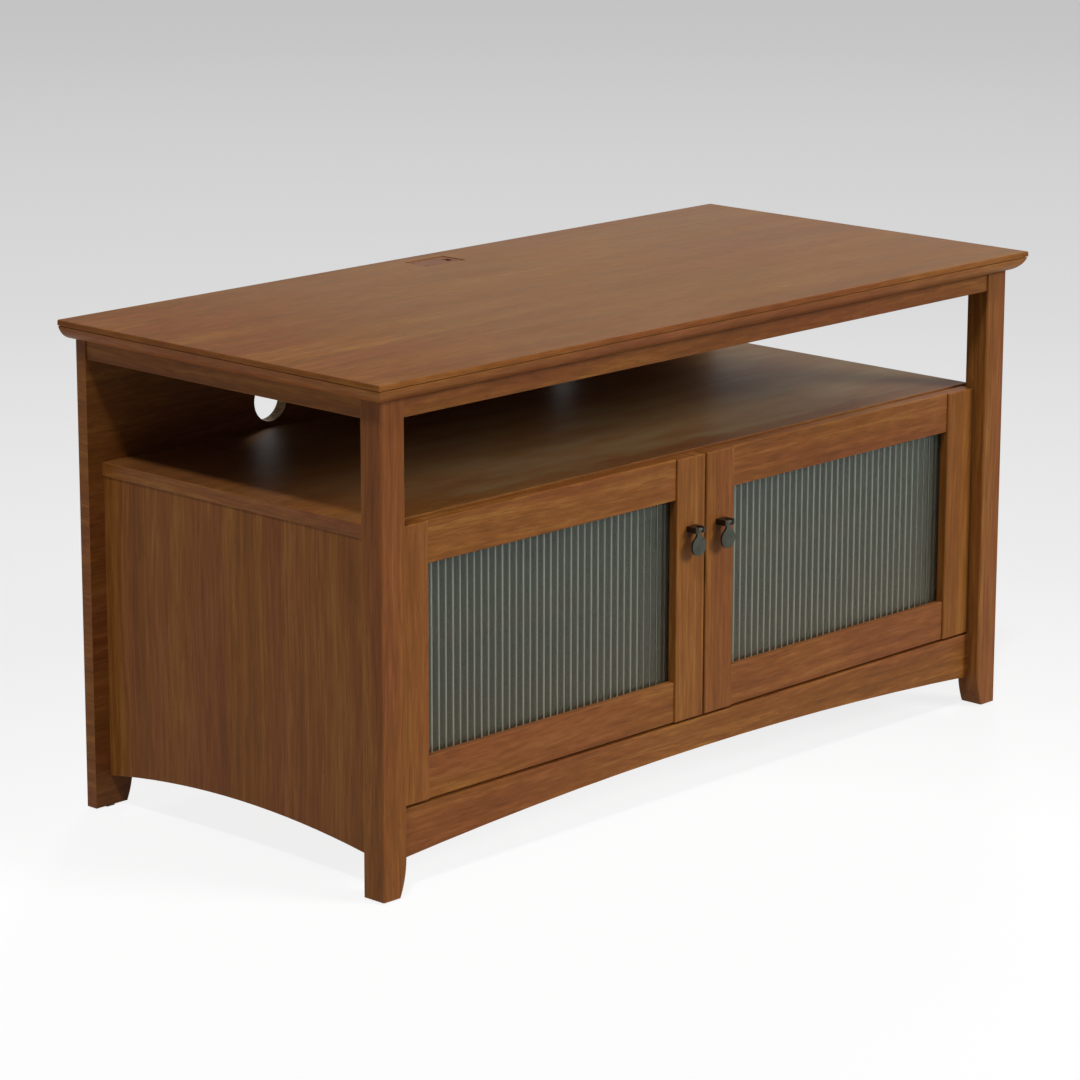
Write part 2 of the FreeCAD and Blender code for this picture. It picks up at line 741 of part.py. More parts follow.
def top_brackets():
    """The steel angles that hold the top down on the aprons and the back panel."""
    leg, gauge, half = S.bracket_leg, S.bracket_gauge, S.bracket_width / 2
    bracket = Piece("bracket_pattern", (0, 0, 0), exported=False)
    profile = bracket.outline("XZ", half, [
        (0, 0), (0, -leg), (gauge, -leg), (gauge, -gauge), (leg, -gauge), (leg, 0)])
    bracket.pad("XZ", profile, S.bracket_width, -1)
    spread = S.bracket_spread / 2
    apron_back = POST_FRONT + S.apron_recess + S.apron_thickness
    side_face = HALF_FRAME - S.apron_recess - S.apron_thickness
    stands = [(x, apron_back, (0, 1)) for x in (-spread, spread)]
    stands += [(x, BACK_FACE, (0, -1)) for x in (-spread, spread)]
    stands += [(-side_face, as_size(0), (1, 0)), (side_face, as_size(0), (-1, 0))]
    places = []
    for x, y, (along_x, along_y) in stands:
        turn = turned(FreeCAD.Vector(along_x, along_y, 0), FreeCAD.Vector(0, 0, 1))
        places.append(FreeCAD.Placement(point_of((x, y, UNDER_TOP)), turn))
    group("top_brackets", bracket, places)


def foot_glides():
    """The glides under the posts and the rear feet."""
    glide = Piece("glide_pattern", (0, 0, 0), exported=False)
    half = S.glide_width / 2
    glide.pad("XY", glide.rectangle("XY", 0, (-half, -half), (half, half)), S.glide_height)
    post_x = HALF_FRAME - (S.post_width - S.foot_inset) / 2
    rear_x = HALF_FRAME - (S.rear_foot_width - S.foot_inset) / 2
    spots = [(post_x, POST_FRONT + S.post_depth / 2), (rear_x, BACK_FACE + S.back_thickness / 2)]
    places = []
    for side in SIDES.values():
        places += [FreeCAD.Placement(point_of((side * x, y, 0)), FreeCAD.Rotation()) for x, y in spots]
    group("foot_glides", glide, places)


def door_frame(name, side):
    """The two stiles and two rails of a door. The stiles stand proud of the rails."""
    rabbet_depth = S.door_thickness - S.rabbet_front
    rabbet_low = SIGHT_LOW - S.rabbet_width
    rabbet_high = SIGHT_HIGH + S.rabbet_width
    stiles = {}
    for kind, near, far, rabbet in (
            ("hinge", SIGHT_FAR, DOOR_OUT, (SIGHT_FAR, SIGHT_FAR + S.rabbet_width)),
            ("meeting", DOOR_IN, SIGHT_NEAR, (SIGHT_NEAR - S.rabbet_width, SIGHT_NEAR))):
        low, high = span(side, near, far)
        stile = board(f"{name}_door_{kind}_stile", (low, DOOR_FRONT, S.door_bottom),
                      (high, DOOR_BACK, DOOR_TOP))
        stile.bevel(S.door_easing, lies_at(1, 0.0))
        rabbet_near, rabbet_far = span(side, *rabbet)
        sketch = stile.rectangle("XZ", DOOR_BACK, (rabbet_near, rabbet_low), (rabbet_far, rabbet_high))
        stile.cut("XZ", sketch, rabbet_depth, -1)
        stiles[kind] = stile
    low, high = span(side, SIGHT_NEAR, SIGHT_FAR)
    front = DOOR_FRONT + S.rail_recess
    for kind, bottom, rabbet in (("top", SIGHT_HIGH, SIGHT_HIGH), ("bottom", S.door_bottom, rabbet_low)):
        rail = board(f"{name}_door_{kind}_rail", (low, front, bottom),
                     (high, DOOR_BACK, bottom + S.member_width))
        rail.bevel(S.board_easing, both(lies_at(1, 0.0), runs_along(0)))
        sketch = rail.rectangle("XZ", DOOR_BACK, (low, rabbet), (high, rabbet + S.rabbet_width))
        rail.cut("XZ", sketch, rabbet_depth, -1)
        tenon_y = front + S.door_easing
        low_z = bottom + S.door_tenon_shoulder
        corner = (tenon_y + S.door_tenon_thickness, bottom + S.member_width - S.door_tenon_shoulder)
        for host, x, way in ((stiles["hinge"], SIGHT_FAR, side), (stiles["meeting"], SIGHT_NEAR, -side)):
            tenon(rail, host, 0, way, side * x, (tenon_y, low_z), corner, S.door_tenon_length)
    return stiles


def pane(name, side):
    """A pane of glass with convex vertical reeds on its front."""
    reach = S.rabbet_width - S.pane_play
    low, high = span(side, SIGHT_NEAR - reach, SIGHT_FAR + reach)
    bottom, top = SIGHT_LOW - reach, SIGHT_HIGH + reach
    face = DOOR_FRONT + S.rabbet_front + S.pane_seat + S.reed_rise
    glass = board(f"{name}_door_glass", (low, face, bottom), (high, face + S.pane_thickness, top))
    chord = S.reed_pitch - S.reed_flat
    start = low + S.reed_flat
    reed = glass.outline("XY", bottom, [(start, face), (start + chord, face)],
                         arcs={1: (arc_radius(chord, S.reed_rise), 1)})
    bead = glass.pad("XY", reed, top - bottom)
    count = int((high - low - S.reed_flat).number // S.reed_pitch.number)
    rows = glass.body.newObject("PartDesign::LinearPattern", f"{name}_door_glass_reeds")
    rows.Originals = [bead]
    rows.Direction = (glass.origin["X_Axis"], [""])
    rows.Occurrences = count
    bind(rows, "Length", S.reed_pitch * (count - 1))
    glass.body.Tip = rows
    return face + S.pane_thickness


def glass_clips(name, side, pane_back):
    """The clips behind a pane: a plate on the frame with a heel that presses on the glass."""
    tongue = S.rabbet_width - S.pane_play
    heel = DOOR_BACK - pane_back
    plate_end = S.clip_length - tongue
    clip = Piece(f"{name}_clip_pattern", (0, 0, 0), exported=False)
    half = S.clip_width / 2
    step = S.pane_play
    profile = clip.outline("XZ", half, [
        (-plate_end, 0), (step, 0), (step, -heel), (tongue, -heel), (tongue, S.clip_plate),
        (-plate_end, S.clip_plate)])
    clip.pad("XZ", profile, S.clip_width, -1)
    spots = []
    for x in (SIGHT_NEAR + S.clip_inset, SIGHT_FAR - S.clip_inset):
        spots.append((side * x, SIGHT_LOW - S.rabbet_width, (0, 1)))
        spots.append((side * x, SIGHT_HIGH + S.rabbet_width, (0, -1)))
    middle = (SIGHT_LOW + SIGHT_HIGH) / 2
    spots.append((side * (SIGHT_NEAR - S.rabbet_width), middle, (side, 0)))
    spots.append((side * (SIGHT_FAR + S.rabbet_width), middle, (-side, 0)))
    places = []
    for x, z, (along_x, along_z) in spots:
        turn = turned(FreeCAD.Vector(along_x, 0, along_z), FreeCAD.Vector(0, 1, 0))
        places.append(FreeCAD.Placement(point_of((x, DOOR_BACK, z)), turn))
    group(f"{name}_glass_clips", clip, places)


def hinge_heights():
    """The heights of a door's two hinges."""
    return (S.door_bottom + S.hinge_end_distance, DOOR_TOP - S.hinge_end_distance)


def hinges(name, side, stile):
    """Two concealed hinges: cups and pins in the stile, gooseneck arms on the side panel."""
    cup_x = DOOR_OUT - S.cup_edge - S.cup_diameter / 2
    for height in hinge_heights():
        bore = S.cup_diameter + 2 * S.joint_play
        stile.drill(1, DOOR_BACK, -1, (side * cup_x, height), bore, S.cup_depth + S.joint_play)

    inner = S.cup_diameter - 2 * S.cup_wall
    cup = Piece(f"{name}_cup_pattern", (0, 0, 0), exported=False)
    cup.pad("XZ", cup.circles("XZ", 0, [(0, 0)], S.cup_diameter), S.cup_depth, -1)
    half_width, half_length = S.cup_flange_width / 2, S.cup_flange_length / 2
    flange = cup.rectangle("XZ", 0, (-half_width, -half_length), (half_width, half_length))
    cup.pad("XZ", flange, S.cup_flange_thickness)
    rim = S.cup_flange_thickness
    cup.cut("XZ", cup.circles("XZ", rim, [(0, 0)], inner), S.cup_depth + rim - S.cup_wall, -1)
    group(f"{name}_hinge_cups", cup, places_at(side * cup_x, DOOR_BACK))

    offset = PIVOT_X - cup_x + S.pivot_diameter / 2
    half_pin = square_root(inner * inner / 4 - offset * offset) - S.joint_play
    radius = S.pivot_diameter / 2
    pin = turned_solid(f"{name}_hinge_pin_pattern", [
        (-half_pin, 0), (half_pin, 0), (half_pin, radius), (-half_pin, radius)])
    upright = FreeCAD.Rotation(FreeCAD.Vector(1, 0, 0), FreeCAD.Vector(0, 0, 1))
    group(f"{name}_hinge_pins", pin, places_at(side * PIVOT_X, PIVOT_Y, upright))
    group(f"{name}_hinge_arms", hinge_arm(name, side), places_at(side * PIVOT_X, PIVOT_Y))


def places_at(x, y, turn=FreeCAD.Rotation()):
    """One place at each hinge height."""
    return [FreeCAD.Placement(point_of((x, y, height)), turn) for height in hinge_heights()]


def arm_outline(side):
    """The corners and arcs of a gooseneck arm in plan, seen from its pin."""
    half, bend, offset, reach = S.arm_thickness / 2, S.arm_bend, S.arm_offset, S.arm_reach
    wall = S.plate_thickness - S.pivot_inset
    inner = [(0, half), (offset - bend, half), (offset - half, bend),
             (offset - half, reach - bend), (offset - bend, reach - half), (wall, reach - half)]
    outer = [(wall, reach + half), (offset - bend, reach + half), (offset + half, reach - bend),
             (offset + half, bend), (offset - bend, -half), (0, -half)]
    corners = [(-side * x, y) for x, y in inner + outer]
    tight, wide = bend - half, bend + half
    return corners, {1: (tight, side), 3: (tight, side), 7: (wide, -side), 9: (wide, -side)}


def hinge_arm(name, side):
    """A gooseneck arm from its eye on the pin, round the door's edge, to a plate on the side panel."""
    arm = Piece(f"{name}_arm_pattern", (0, 0, 0), exported=False)
    half, reach = S.arm_width / 2, S.arm_reach
    corners, arcs = arm_outline(side)
    arm.pad("XY", arm.outline("XY", -half, corners, arcs), S.arm_width)
    arm.pad("XY", arm.circles("XY", -half, [(0, 0)], S.eye_diameter), S.arm_width)
    face = side * S.pivot_inset
    front = reach - S.plate_length / 4
    height = S.plate_height / 2
    plate = arm.rectangle("YZ", face, (front, -height), (front + S.plate_length, height))
    arm.pad("YZ", plate, S.plate_thickness, -side)
    arm.drill(2, half, -1, (0, 0), S.pivot_diameter + 2 * S.running_play, S.arm_width)
    arm.cut_bores()
    return arm


def catch(name, side):
    """A magnetic catch under the media shelf and the strike plate that meets it on the door."""
    middle = side * S.catch_offset
    face = DOOR_BACK + S.strike_thickness + S.catch_air
    half = S.catch_length / 2
    body = board(f"{name}_magnetic_catch", (middle - half, face, SHELF_UNDER - S.catch_height),
                 (middle + half, face + S.catch_depth, SHELF_UNDER))
    body.bevel(S.door_easing, both(runs_along(2), lies_at(1, 0.0)))
    height = SHELF_UNDER - S.catch_height / 2
    half, rise = S.strike_length / 2, S.strike_height / 2
    board(f"{name}_strike_plate", (middle - half, DOOR_BACK, height - rise),
          (middle + half, DOOR_BACK + S.strike_thickness, height + rise))


def pull(name, side):
    """A drop pull on the meeting stile: a forked post, its pin and the hanging pendant."""
    x = side * (DOOR_IN + S.member_width / 2)
    z = S.pull_height
    front = DOOR_FRONT - S.pull_reach
    half, rise = S.pull_width / 2, S.pull_block_height / 2
    pin_y = front + S.pull_pin_setback
    slot = S.pendant_neck / 2 + S.pane_seat

    block = board(f"{name}_pull_post", (x - half, front, z - rise), (x + half, DOOR_FRONT, z + rise))
    block.bevel(S.pull_easing, lies_at(1, 0.0))
    fork = block.rectangle("XY", z + rise, (x - slot, front), (x + slot, front + S.pull_slot_depth))
    block.cut("XY", fork, S.pull_block_height, -1)
    block.drill(0, x - half, 1, (pin_y, z), S.pull_pin_diameter + 2 * S.running_play, S.pull_width)
    block.cut_bores()

    pin = Piece(f"{name}_pull_pin", (x - half, pin_y, z))
    pin.pad("YZ", pin.circles("YZ", x - half, [(pin_y, z)], S.pull_pin_diameter), S.pull_width)
    pendant(name, x, pin_y, z)


def pendant(name, x, y, z):
    """The pendant: an eye, a narrow neck with hollow flanks, and a round drop."""
    neck, disc, hollow = S.pendant_neck / 2, S.pendant_disc / 2, S.pendant_hollow
    drop = z - S.pendant_drop
    flank = neck + hollow
    rise = square_root((disc + hollow) * (disc + hollow) - flank * flank)
    share = disc / (disc + hollow)
    left, right = x - flank * share, x + flank * share
    meeting = drop + rise * share
    foot = y - S.pendant_thickness / 2
    plate = Piece(f"{name}_pull_pendant", (x, y, z))
    outline = plate.outline("XZ", foot, [
        (x - neck, z), (x - neck, drop + rise), (left, meeting), (x, drop - disc), (right, meeting),
        (x + neck, drop + rise), (x + neck, z)],
        arcs={1: (hollow, 1), 2: (disc, -1), 3: (disc, -1), 4: (hollow, 1)})
    plate.pad("XZ", outline, S.pendant_thickness)
    plate.pad("YZ", plate.circles("YZ", x - neck, [(y, z)], S.pendant_eye), S.pendant_neck)
    bore = S.pull_pin_diameter + 2 * S.running_play
    plate.drill(0, x - neck, 1, (y, z), bore, S.pendant_neck)
    plate.cut_bores()


def doors():
    """Both doors with their glass, hinges, catches and pulls."""
    for name, side in SIDES.items():
        stiles = door_frame(name, side)
        glass_clips(name, side, pane(name, side))
        hinges(name, side, stiles["hinge"])
        catch(name, side)
        pull(name, side)
        stiles["hinge"].cut_bores()


def check():
    """Stop if a feature failed, a shape is unsound or a cut took nothing away."""
    DOC.recompute()
    faults = [thing.Name for thing in DOC.Objects if {"Invalid", "Error"} & set(thing.State)]
    faults += [label for label, node in NODES.items() if node.Shape.isNull() or not node.Shape.isValid()]
    for cut in CUTS:
        if cut.Shape.Volume > cut.BaseFeature.Shape.Volume - 1e-3:
            faults.append(f"{cut.Name} cuts nothing")
    if faults:
        raise RuntimeError("unsound: " + ", ".join(faults))


def write():
    """Write each node's solids to a file of its own."""
    os.makedirs("parts", exist_ok=True)
    for label, node in NODES.items():
        node.Shape.exportStep(f"parts/{label}.step")
        print(label, len(node.Shape.Solids), round(node.Shape.Volume, 1))


carcass()
shelf_pins()
top_brackets()
foot_glides()
doors()
check()
write()
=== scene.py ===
"""Looks of a TV stand with reeded-glass doors, built round its packed construction model."""

import logging
import math
from collections.abc import Iterator
from dataclasses import dataclass
from enum import Enum
from typing import Any

import bmesh
import bpy
from bmesh.types import BMesh, BMVert
from bpy.types import Material, Mesh, Node, NodeSocket, NodeTree, Object, World
from mathutils import Euler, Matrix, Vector


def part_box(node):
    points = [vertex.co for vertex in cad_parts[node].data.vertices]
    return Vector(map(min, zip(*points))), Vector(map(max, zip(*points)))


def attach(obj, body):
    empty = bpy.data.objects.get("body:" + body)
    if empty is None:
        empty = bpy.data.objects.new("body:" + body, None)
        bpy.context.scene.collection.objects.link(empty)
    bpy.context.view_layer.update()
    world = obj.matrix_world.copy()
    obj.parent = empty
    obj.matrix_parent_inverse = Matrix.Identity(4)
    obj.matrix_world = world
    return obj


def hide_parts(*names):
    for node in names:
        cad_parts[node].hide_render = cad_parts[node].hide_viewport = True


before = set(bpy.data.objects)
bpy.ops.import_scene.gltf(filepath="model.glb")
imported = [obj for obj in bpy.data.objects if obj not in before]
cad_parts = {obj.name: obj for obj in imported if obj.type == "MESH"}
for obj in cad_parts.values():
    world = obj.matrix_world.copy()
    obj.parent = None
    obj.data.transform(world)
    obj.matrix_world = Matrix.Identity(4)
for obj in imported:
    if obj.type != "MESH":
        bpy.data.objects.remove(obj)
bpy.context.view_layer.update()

LOG = logging.getLogger("tv_stand")
MM = 0.001
Point = tuple[float, float, float]
Pair = tuple[float, float]
Spot = tuple[Point, Point, float]
Link = Node | NodeSocket


class Grain(Enum):
    """The axis that a board's grain runs along, as the turn that lays it along X."""

    ALONG_X = (0.0, 0.0, 0.0)
    ALONG_Y = (0.0, 0.0, -math.pi / 2)
    ALONG_Z = (0.0, math.pi / 2, 0.0)


class Side(Enum):
    """The two halves of the stand, with the sign of their x."""

    LEFT = -1
    RIGHT = 1

    @property
    def word(self) -> str:
        """The word that starts the names of this half's pieces."""
        return self.name.lower()

    @property
    def door(self) -> str:
        """The name of this half's door body."""
        return f"{self.word}_door"


def linear(colour: str) -> tuple[float, float, float, float]:
    """Turn an sRGB hex colour, six digits after a hash, into linear numbers and an alpha of one."""
    parts = [int(colour[i:i + 2], 16) / 255 for i in (1, 3, 5)]
    return (*[c / 12.92 if c <= 0.04045 else ((c + 0.055) / 1.055) ** 2.4 for c in parts], 1.0)


def add(tree: NodeTree, kind: str, inputs: dict[str | int, Any] | None = None,
        stops: list[tuple[float, str]] | None = None, **settings: Any) -> Node:
    """Add a node to a tree with its settings, values and links.

    Args:
        tree: The tree that the node goes into.
        kind: The node's type, without ShaderNode where it starts with that.
        inputs: For each input, by name or number, a value to set, a socket to link, or a node
            whose first open output is linked.
        stops: Places and hex colours of a colour ramp.
        **settings: Properties of the node itself.

    Returns:
        The node.
    """
    node = tree.nodes.new(kind if "Node" in kind else f"ShaderNode{kind}")
    for name, value in settings.items():
        setattr(node, name, value)
    for key, value in (inputs or {}).items():
        if isinstance(value, Node):
            value = next(socket for socket in value.outputs if socket.enabled)
        if isinstance(value, NodeSocket):
            tree.links.new(value, node.inputs[key])
        else:
            node.inputs[key].default_value = value
    if stops:
        ramp = node.color_ramp.elements
        while len(ramp) < len(stops):
            ramp.new(0.5)
        for element, (place, colour) in zip(ramp, stops):
            element.position = place
            element.color = linear(colour)
    return node


def empty_tree(owner: Material | World) -> NodeTree:
    """Start the nodes of a material or a world.

    Args:
        owner: The material or the world.

    Returns:
        Its empty tree.
    """
    owner.use_nodes = True
    owner.node_tree.nodes.clear()
    return owner.node_tree


def rubbed_edges(tree: NodeTree, colour: Link, edge_colour: str, reach: float, bend: Pair,
                 most: float) -> Node:
    """Paint the arrises with the wear that handling leaves and with painted edge light.

    Args:
        tree: The material's tree.
        colour: The colour of the faces.
        edge_colour: The arrises' colour: wear and painted edge light together.
        reach: How far it goes from the arris, in millimetres.
        bend: The cosines of the bends where it begins and where it is full.
        most: The share of the edge colour where it is full.

    Returns:
        The colour with its edges.
    """
    true = add(tree, "NewGeometry").outputs["Normal"]
    soft = add(tree, "Bevel", {"Radius": reach * MM}, samples=4)
    facing = add(tree, "VectorMath", {0: true, 1: soft}, operation="DOT_PRODUCT")
    edge = add(tree, "MapRange", {
        "Value": facing, "From Min": bend[0], "From Max": bend[1], "To Max": most})
    return add(tree, "Mix", {"Factor": edge, "A": colour, "B": linear(edge_colour)}, data_type="RGBA")


def coat(tree: NodeTree, colour: Link, blur: tuple[Link, float, float],
         relief: tuple[Link, float, float], rest: dict[str, Any]) -> None:
    """Give a material its surface.

    Args:
        tree: The material's tree.
        colour: The surface's colour.
        blur: A pattern, and the roughness where it is nought and where it is one.
        relief: A pattern, how strongly it is pressed in, and how deep in millimetres.
        rest: The shader's other inputs.
    """
    (sheen, least, most), (height, strength, depth) = blur, relief
    rough = add(tree, "MapRange", {"Value": sheen, "To Min": least, "To Max": most})
    bump = add(tree, "Bump", {"Height": height, "Strength": strength, "Distance": depth * MM})
    shader = add(tree, "BsdfPrincipled", {
        "Base Color": colour, "Roughness": rough, "Normal": bump, **rest})
    add(tree, "OutputMaterial", {0: shader})


def upward(tree: NodeTree) -> NodeSocket:
    """How far a face looks up: one for an upper face, less than nought for a lower one."""
    normal = add(tree, "TexCoord").outputs["Normal"]
    return add(tree, "SeparateXYZ", {0: normal}).outputs["Z"]


class Finish:
    """A finish that makes its material once and lends it to every piece that asks."""

    _made: dict[Any, Material] = {}
    name: str

    def paint(self, tree: NodeTree, place: NodeSocket) -> None:
        """Fill the material's tree; each finish has its own way."""
        raise NotImplementedError

    @property
    def material(self) -> Material:
        """The finish's material, made at the first use."""
        if self not in Finish._made:
            Finish._made[self] = bpy.data.materials.new(self.name)
            tree = empty_tree(Finish._made[self])
            self.paint(tree, add(tree, "TexCoord").outputs["Object"])
        return Finish._made[self]


@dataclass(frozen=True)
class CherryLaminate(Finish):
    """Particleboard under printed cherry paper: soft brown streaks and a satin skin.

    The print has bands, growth rings, figure, fibres and short dark pores and flecks, and the
    press leaves a faint relief along the pores. Arrises are painted a little paler, for wear and a
    painted highlight. A grey film of dust and painted sheen can lie on the upper faces, and the
    moulding can be painted paler for the light on it. Widths, lengths and places are in
    millimetres. Real fibres, pores and flecks are under half a millimetre wide, too fine to show in
    the render, so they are drawn as coarse as they need to show. The hole's radius is a hair over
    the real one, to take in its wall.
    """

    name: str
    grain: Grain
    raw_holes: tuple[Point, ...] = ()
    hole_radius: float = 25.08
    chip_width: float = 2.2
    band_width: float = 34.0
    patch_width: float = 57.8
    ring_width: float = 9.0
    ring_length: float = 380.0
    ring_depth: float = 75.0
    leaf_width: float = 150.0
    figure_width: float = 5.0
    fibre_width: float = 2.2
    pore_width: float = 1.6
    fleck_width: float = 1.3
    stretch: float = 16.0
    sway_length: float = 420.0
    sway: float = 25.0
    evenness: float = 0.12
    gloss: float = 0.12
    # A grey film of dust and painted sheen on the upper faces, and how it spreads.
    dust: float = 0.0
    dust_least: float = 0.1
    dust_width: float = 32.0
    dust_stretch: float = 3.5
    dust_left: Pair = (-460.0, -230.0)
    dust_front: float = -400.0
    dust_border: Pair = (18.0, 24.0)
    border_sway: float = 40.0
    moulding: float = 1.0

    def paint(self, tree: NodeTree, place: NodeSocket) -> None:
        """Print the laminate with its grain along the board.

        Args:
            tree: The material's tree.
            place: The place on the board.
        """
        laid = self.laid_grain(tree, place)
        rings = self.growth_rings(tree, laid)
        pores = self.streaks(tree, laid, self.pore_width, detail=2.0, longer=self.stretch * 1.8)
        colour = self.printed(tree, laid, rings, pores)
        # A grey film of dust and painted sheen.
        if self.dust:
            cloud = self.streaks(tree, laid, self.dust_width, detail=5.0, longer=self.dust_stretch)
            colour = self.dusted(tree, place, cloud, colour)
        # Painted light on the moulding under the top's lip.
        if self.moulding != 1.0:
            colour = self.paler_moulding(tree, colour)
        # Pale arrises: edge wear and a painted highlight along them.
        colour = rubbed_edges(tree, colour, "#B07A42", reach=1.4, bend=(0.98, 0.80), most=0.35)
        if self.raw_holes:
            colour = self.chipboard_walls(tree, place, colour)
        coat(tree, colour, (rings, 0.36, 0.50), (pores, 0.12, 0.25),
             {"IOR": 1.48, "Specular IOR Level": self.gloss})

    def laid_grain(self, tree: NodeTree, place: Link) -> Node:
        """Lay a grain that sways a little along the board, and along the edge on banded ends.

        Args:
            tree: The material's tree.
            place: The place on the board.

        Returns:
            The place with the grain along X.
        """
        turn = self.grain.value
        turned = add(tree, "Mapping", {"Vector": place, "Rotation": turn})
        normal = add(tree, "TexCoord").outputs["Normal"]
        facing = add(tree, "Mapping", {"Vector": normal, "Rotation": turn}, vector_type="VECTOR")
        onward = add(tree, "SeparateXYZ", {0: facing}).outputs["X"]
        squared = add(tree, "Math", {0: onward, 1: onward}, operation="MULTIPLY")
        is_end = add(tree, "Math", {0: squared, 1: 0.1}, operation="GREATER_THAN")
        parts = add(tree, "SeparateXYZ", {0: turned}).outputs
        crossed = add(tree, "CombineXYZ", {"X": parts["Y"], "Y": parts["X"], "Z": parts["Z"]})
        laid = add(tree, "Mix", {"Factor": is_end, "A": turned, "B": crossed}, data_type="VECTOR")
        bends = add(tree, "TexNoise", {
            "Vector": laid, "Scale": 1 / (self.sway_length * MM), "Detail": 1.0})
        centred = add(tree, "VectorMath", {0: bends.outputs["Color"], 1: (0.5, 0.5, 0.5)},
                      operation="SUBTRACT")
        sway = self.sway * MM
        return add(tree, "VectorMath", {0: centred, 1: (0.0, sway, sway), 2: laid},
                   operation="MULTIPLY_ADD")

    def streaks(self, tree: NodeTree, laid: Link, width: float, detail: float,
                longer: float) -> Node:
        """Draw noise out along the grain.

        Args:
            tree: The material's tree.
            laid: The place with the grain along X.
            width: The width of a streak in millimetres.
            detail: How many finer layers the noise has.
            longer: How many times longer than wide a streak is.

        Returns:
            The noise.
        """
        across = 1 / (width * MM)
        scaled = add(tree, "VectorMath", {0: laid, 1: (across / longer, across, across)},
                     operation="MULTIPLY")
        return add(tree, "TexNoise", {
            "Vector": scaled, "Scale": 1.0, "Detail": detail, "Roughness": 0.55})

    def growth_rings(self, tree: NodeTree, laid: Link) -> Node:
        """Cut the rings of a log lengthwise: they arch over the heart and run straight beside it.

        Args:
            tree: The material's tree.
            laid: The place with the grain along X.

        Returns:
            How pale the ring is there.
        """
        parts = add(tree, "SeparateXYZ", {0: laid}).outputs
        across = add(tree, "Math", {0: parts["Y"], 1: parts["Z"]}, operation="ADD")
        beside = add(tree, "Math", {0: across, 1: self.leaf_width * MM}, operation="PINGPONG")
        along = add(tree, "VectorMath", {
            0: laid, 1: (1 / (self.ring_length * MM), 1.0, 1.0)}, operation="MULTIPLY")
        depth = add(tree, "TexNoise", {"Vector": along, "Scale": 1.0, "Detail": 1.0})
        below = add(tree, "Math", {0: depth, 1: self.ring_depth * MM}, operation="MULTIPLY")
        corner = add(tree, "CombineXYZ", {"X": beside, "Y": below})
        radius = add(tree, "VectorMath", {0: corner}, operation="LENGTH")
        rings = add(tree, "Math", {0: radius, 1: self.ring_width * MM}, operation="DIVIDE")
        return add(tree, "TexNoise", {
            "W": rings, "Scale": 1.0, "Detail": 3.0, "Roughness": 0.6}, noise_dimensions="1D")

    def printed(self, tree: NodeTree, laid: Link, rings: Link, pores: Link) -> Node:
        """Print the paper: patches of golden and reddish cherry with dark pores and flecks.

        Args:
            tree: The material's tree.
            laid: The place with the grain along X.
            rings: How pale the growth ring is.
            pores: The noise that the pores follow.

        Returns:
            The paper's colour.
        """
        bands, patches, figure, fibres, flecks = [
            self.streaks(tree, laid, width, detail, self.stretch * share)
            for width, detail, share in (
                (self.band_width, 3.0, 0.5), (self.patch_width, 1.0, 0.4),
                (self.figure_width, 4.0, 0.35), (self.fibre_width, 3.0, 1.0),
                (self.fleck_width, 1.0, 0.4))]
        broad = add(tree, "Mix", {"Factor": 0.45, "A": bands, "B": rings})
        fine = add(tree, "Mix", {"Factor": 0.5, "A": fibres, "B": figure})
        tone = add(tree, "Mix", {"Factor": 0.5, "A": broad, "B": fine})
        spread = (0.5 - self.evenness, 0.5, 0.5 + self.evenness)
        reddish, golden = [
            add(tree, "ValToRGB", {"Fac": tone}, stops=list(zip(spread, shades)))
            for shades in (("#673A1B", "#7A4622", "#8B562E"), ("#6C411A", "#7F4D21", "#92622E"))]
        warmth = add(tree, "MapRange", {"Value": patches, "From Min": 0.4, "From Max": 0.6})
        colour = add(tree, "Mix", {"Factor": warmth, "A": reddish, "B": golden}, data_type="RGBA")
        for noise, least, most, share in ((pores, 0.30, 0.42, 0.35), (flecks, 0.22, 0.30, 0.6)):
            dark = add(tree, "MapRange", {
                "Value": noise, "From Min": least, "From Max": most, "To Min": share,
                "To Max": 0.0})
            colour = add(tree, "Mix", {
                "Factor": dark, "A": colour, "B": linear("#46280E")}, data_type="RGBA")
        return colour

    def dusted(self, tree: NodeTree, place: Link, cloud: Link, colour: Link) -> Node:
        """Lay a grey film of dust and painted sheen on upper faces, thinner on the left and in
        front.

        Args:
            tree: The material's tree.
            place: The place on the board.
            cloud: The noise that the film's thickness follows.
            colour: The laminate's colour.

        Returns:
            The colour under its film.
        """
        parts = add(tree, "SeparateXYZ", {0: place}).outputs
        border = add(tree, "Math", {0: cloud, 1: self.border_sway * MM, 2: parts["Y"]},
                     operation="MULTIPLY_ADD")
        edges = [(self.dust_front + reach) * MM for reach in self.dust_border]
        film = add(tree, "Math", {0: upward(tree), 1: 0.9}, operation="GREATER_THAN")
        # Thinner where the cloud is thin, to the left where the painted sheen fades, and at the
        # front border.
        for value, (start, stop), least, most in (
                (cloud, (0.40, 0.62), self.dust * self.dust_least, self.dust),
                (parts["X"], [x * MM for x in self.dust_left], 0.2, 1.0),
                (border, edges, 0.35, 1.0)):
            share = add(tree, "MapRange", {
                "Value": value, "From Min": start, "From Max": stop, "To Min": least,
                "To Max": most})
            film = add(tree, "Math", {0: film, 1: share}, operation="MULTIPLY")
        # The film's grey-tan: dust and painted sheen.
        return add(tree, "Mix", {"Factor": film, "A": colour, "B": linear("#8C7653")},
                   data_type="RGBA")

    def paler_moulding(self, tree: NodeTree, colour: Link) -> Node:
        """Paint light on the moulding: paler than the face where the board's edge turns under.

        Args:
            tree: The material's tree.
            colour: The laminate's colour.

        Returns:
            The colour with its moulding.
        """
        turned = add(tree, "Math", {0: upward(tree), 1: -0.5, 2: 0.45}, operation="COMPARE")
        paler = add(tree, "VectorMath", {0: colour, "Scale": self.moulding}, operation="SCALE")
        return add(tree, "Mix", {"Factor": turned, "A": colour, "B": paler}, data_type="RGBA")

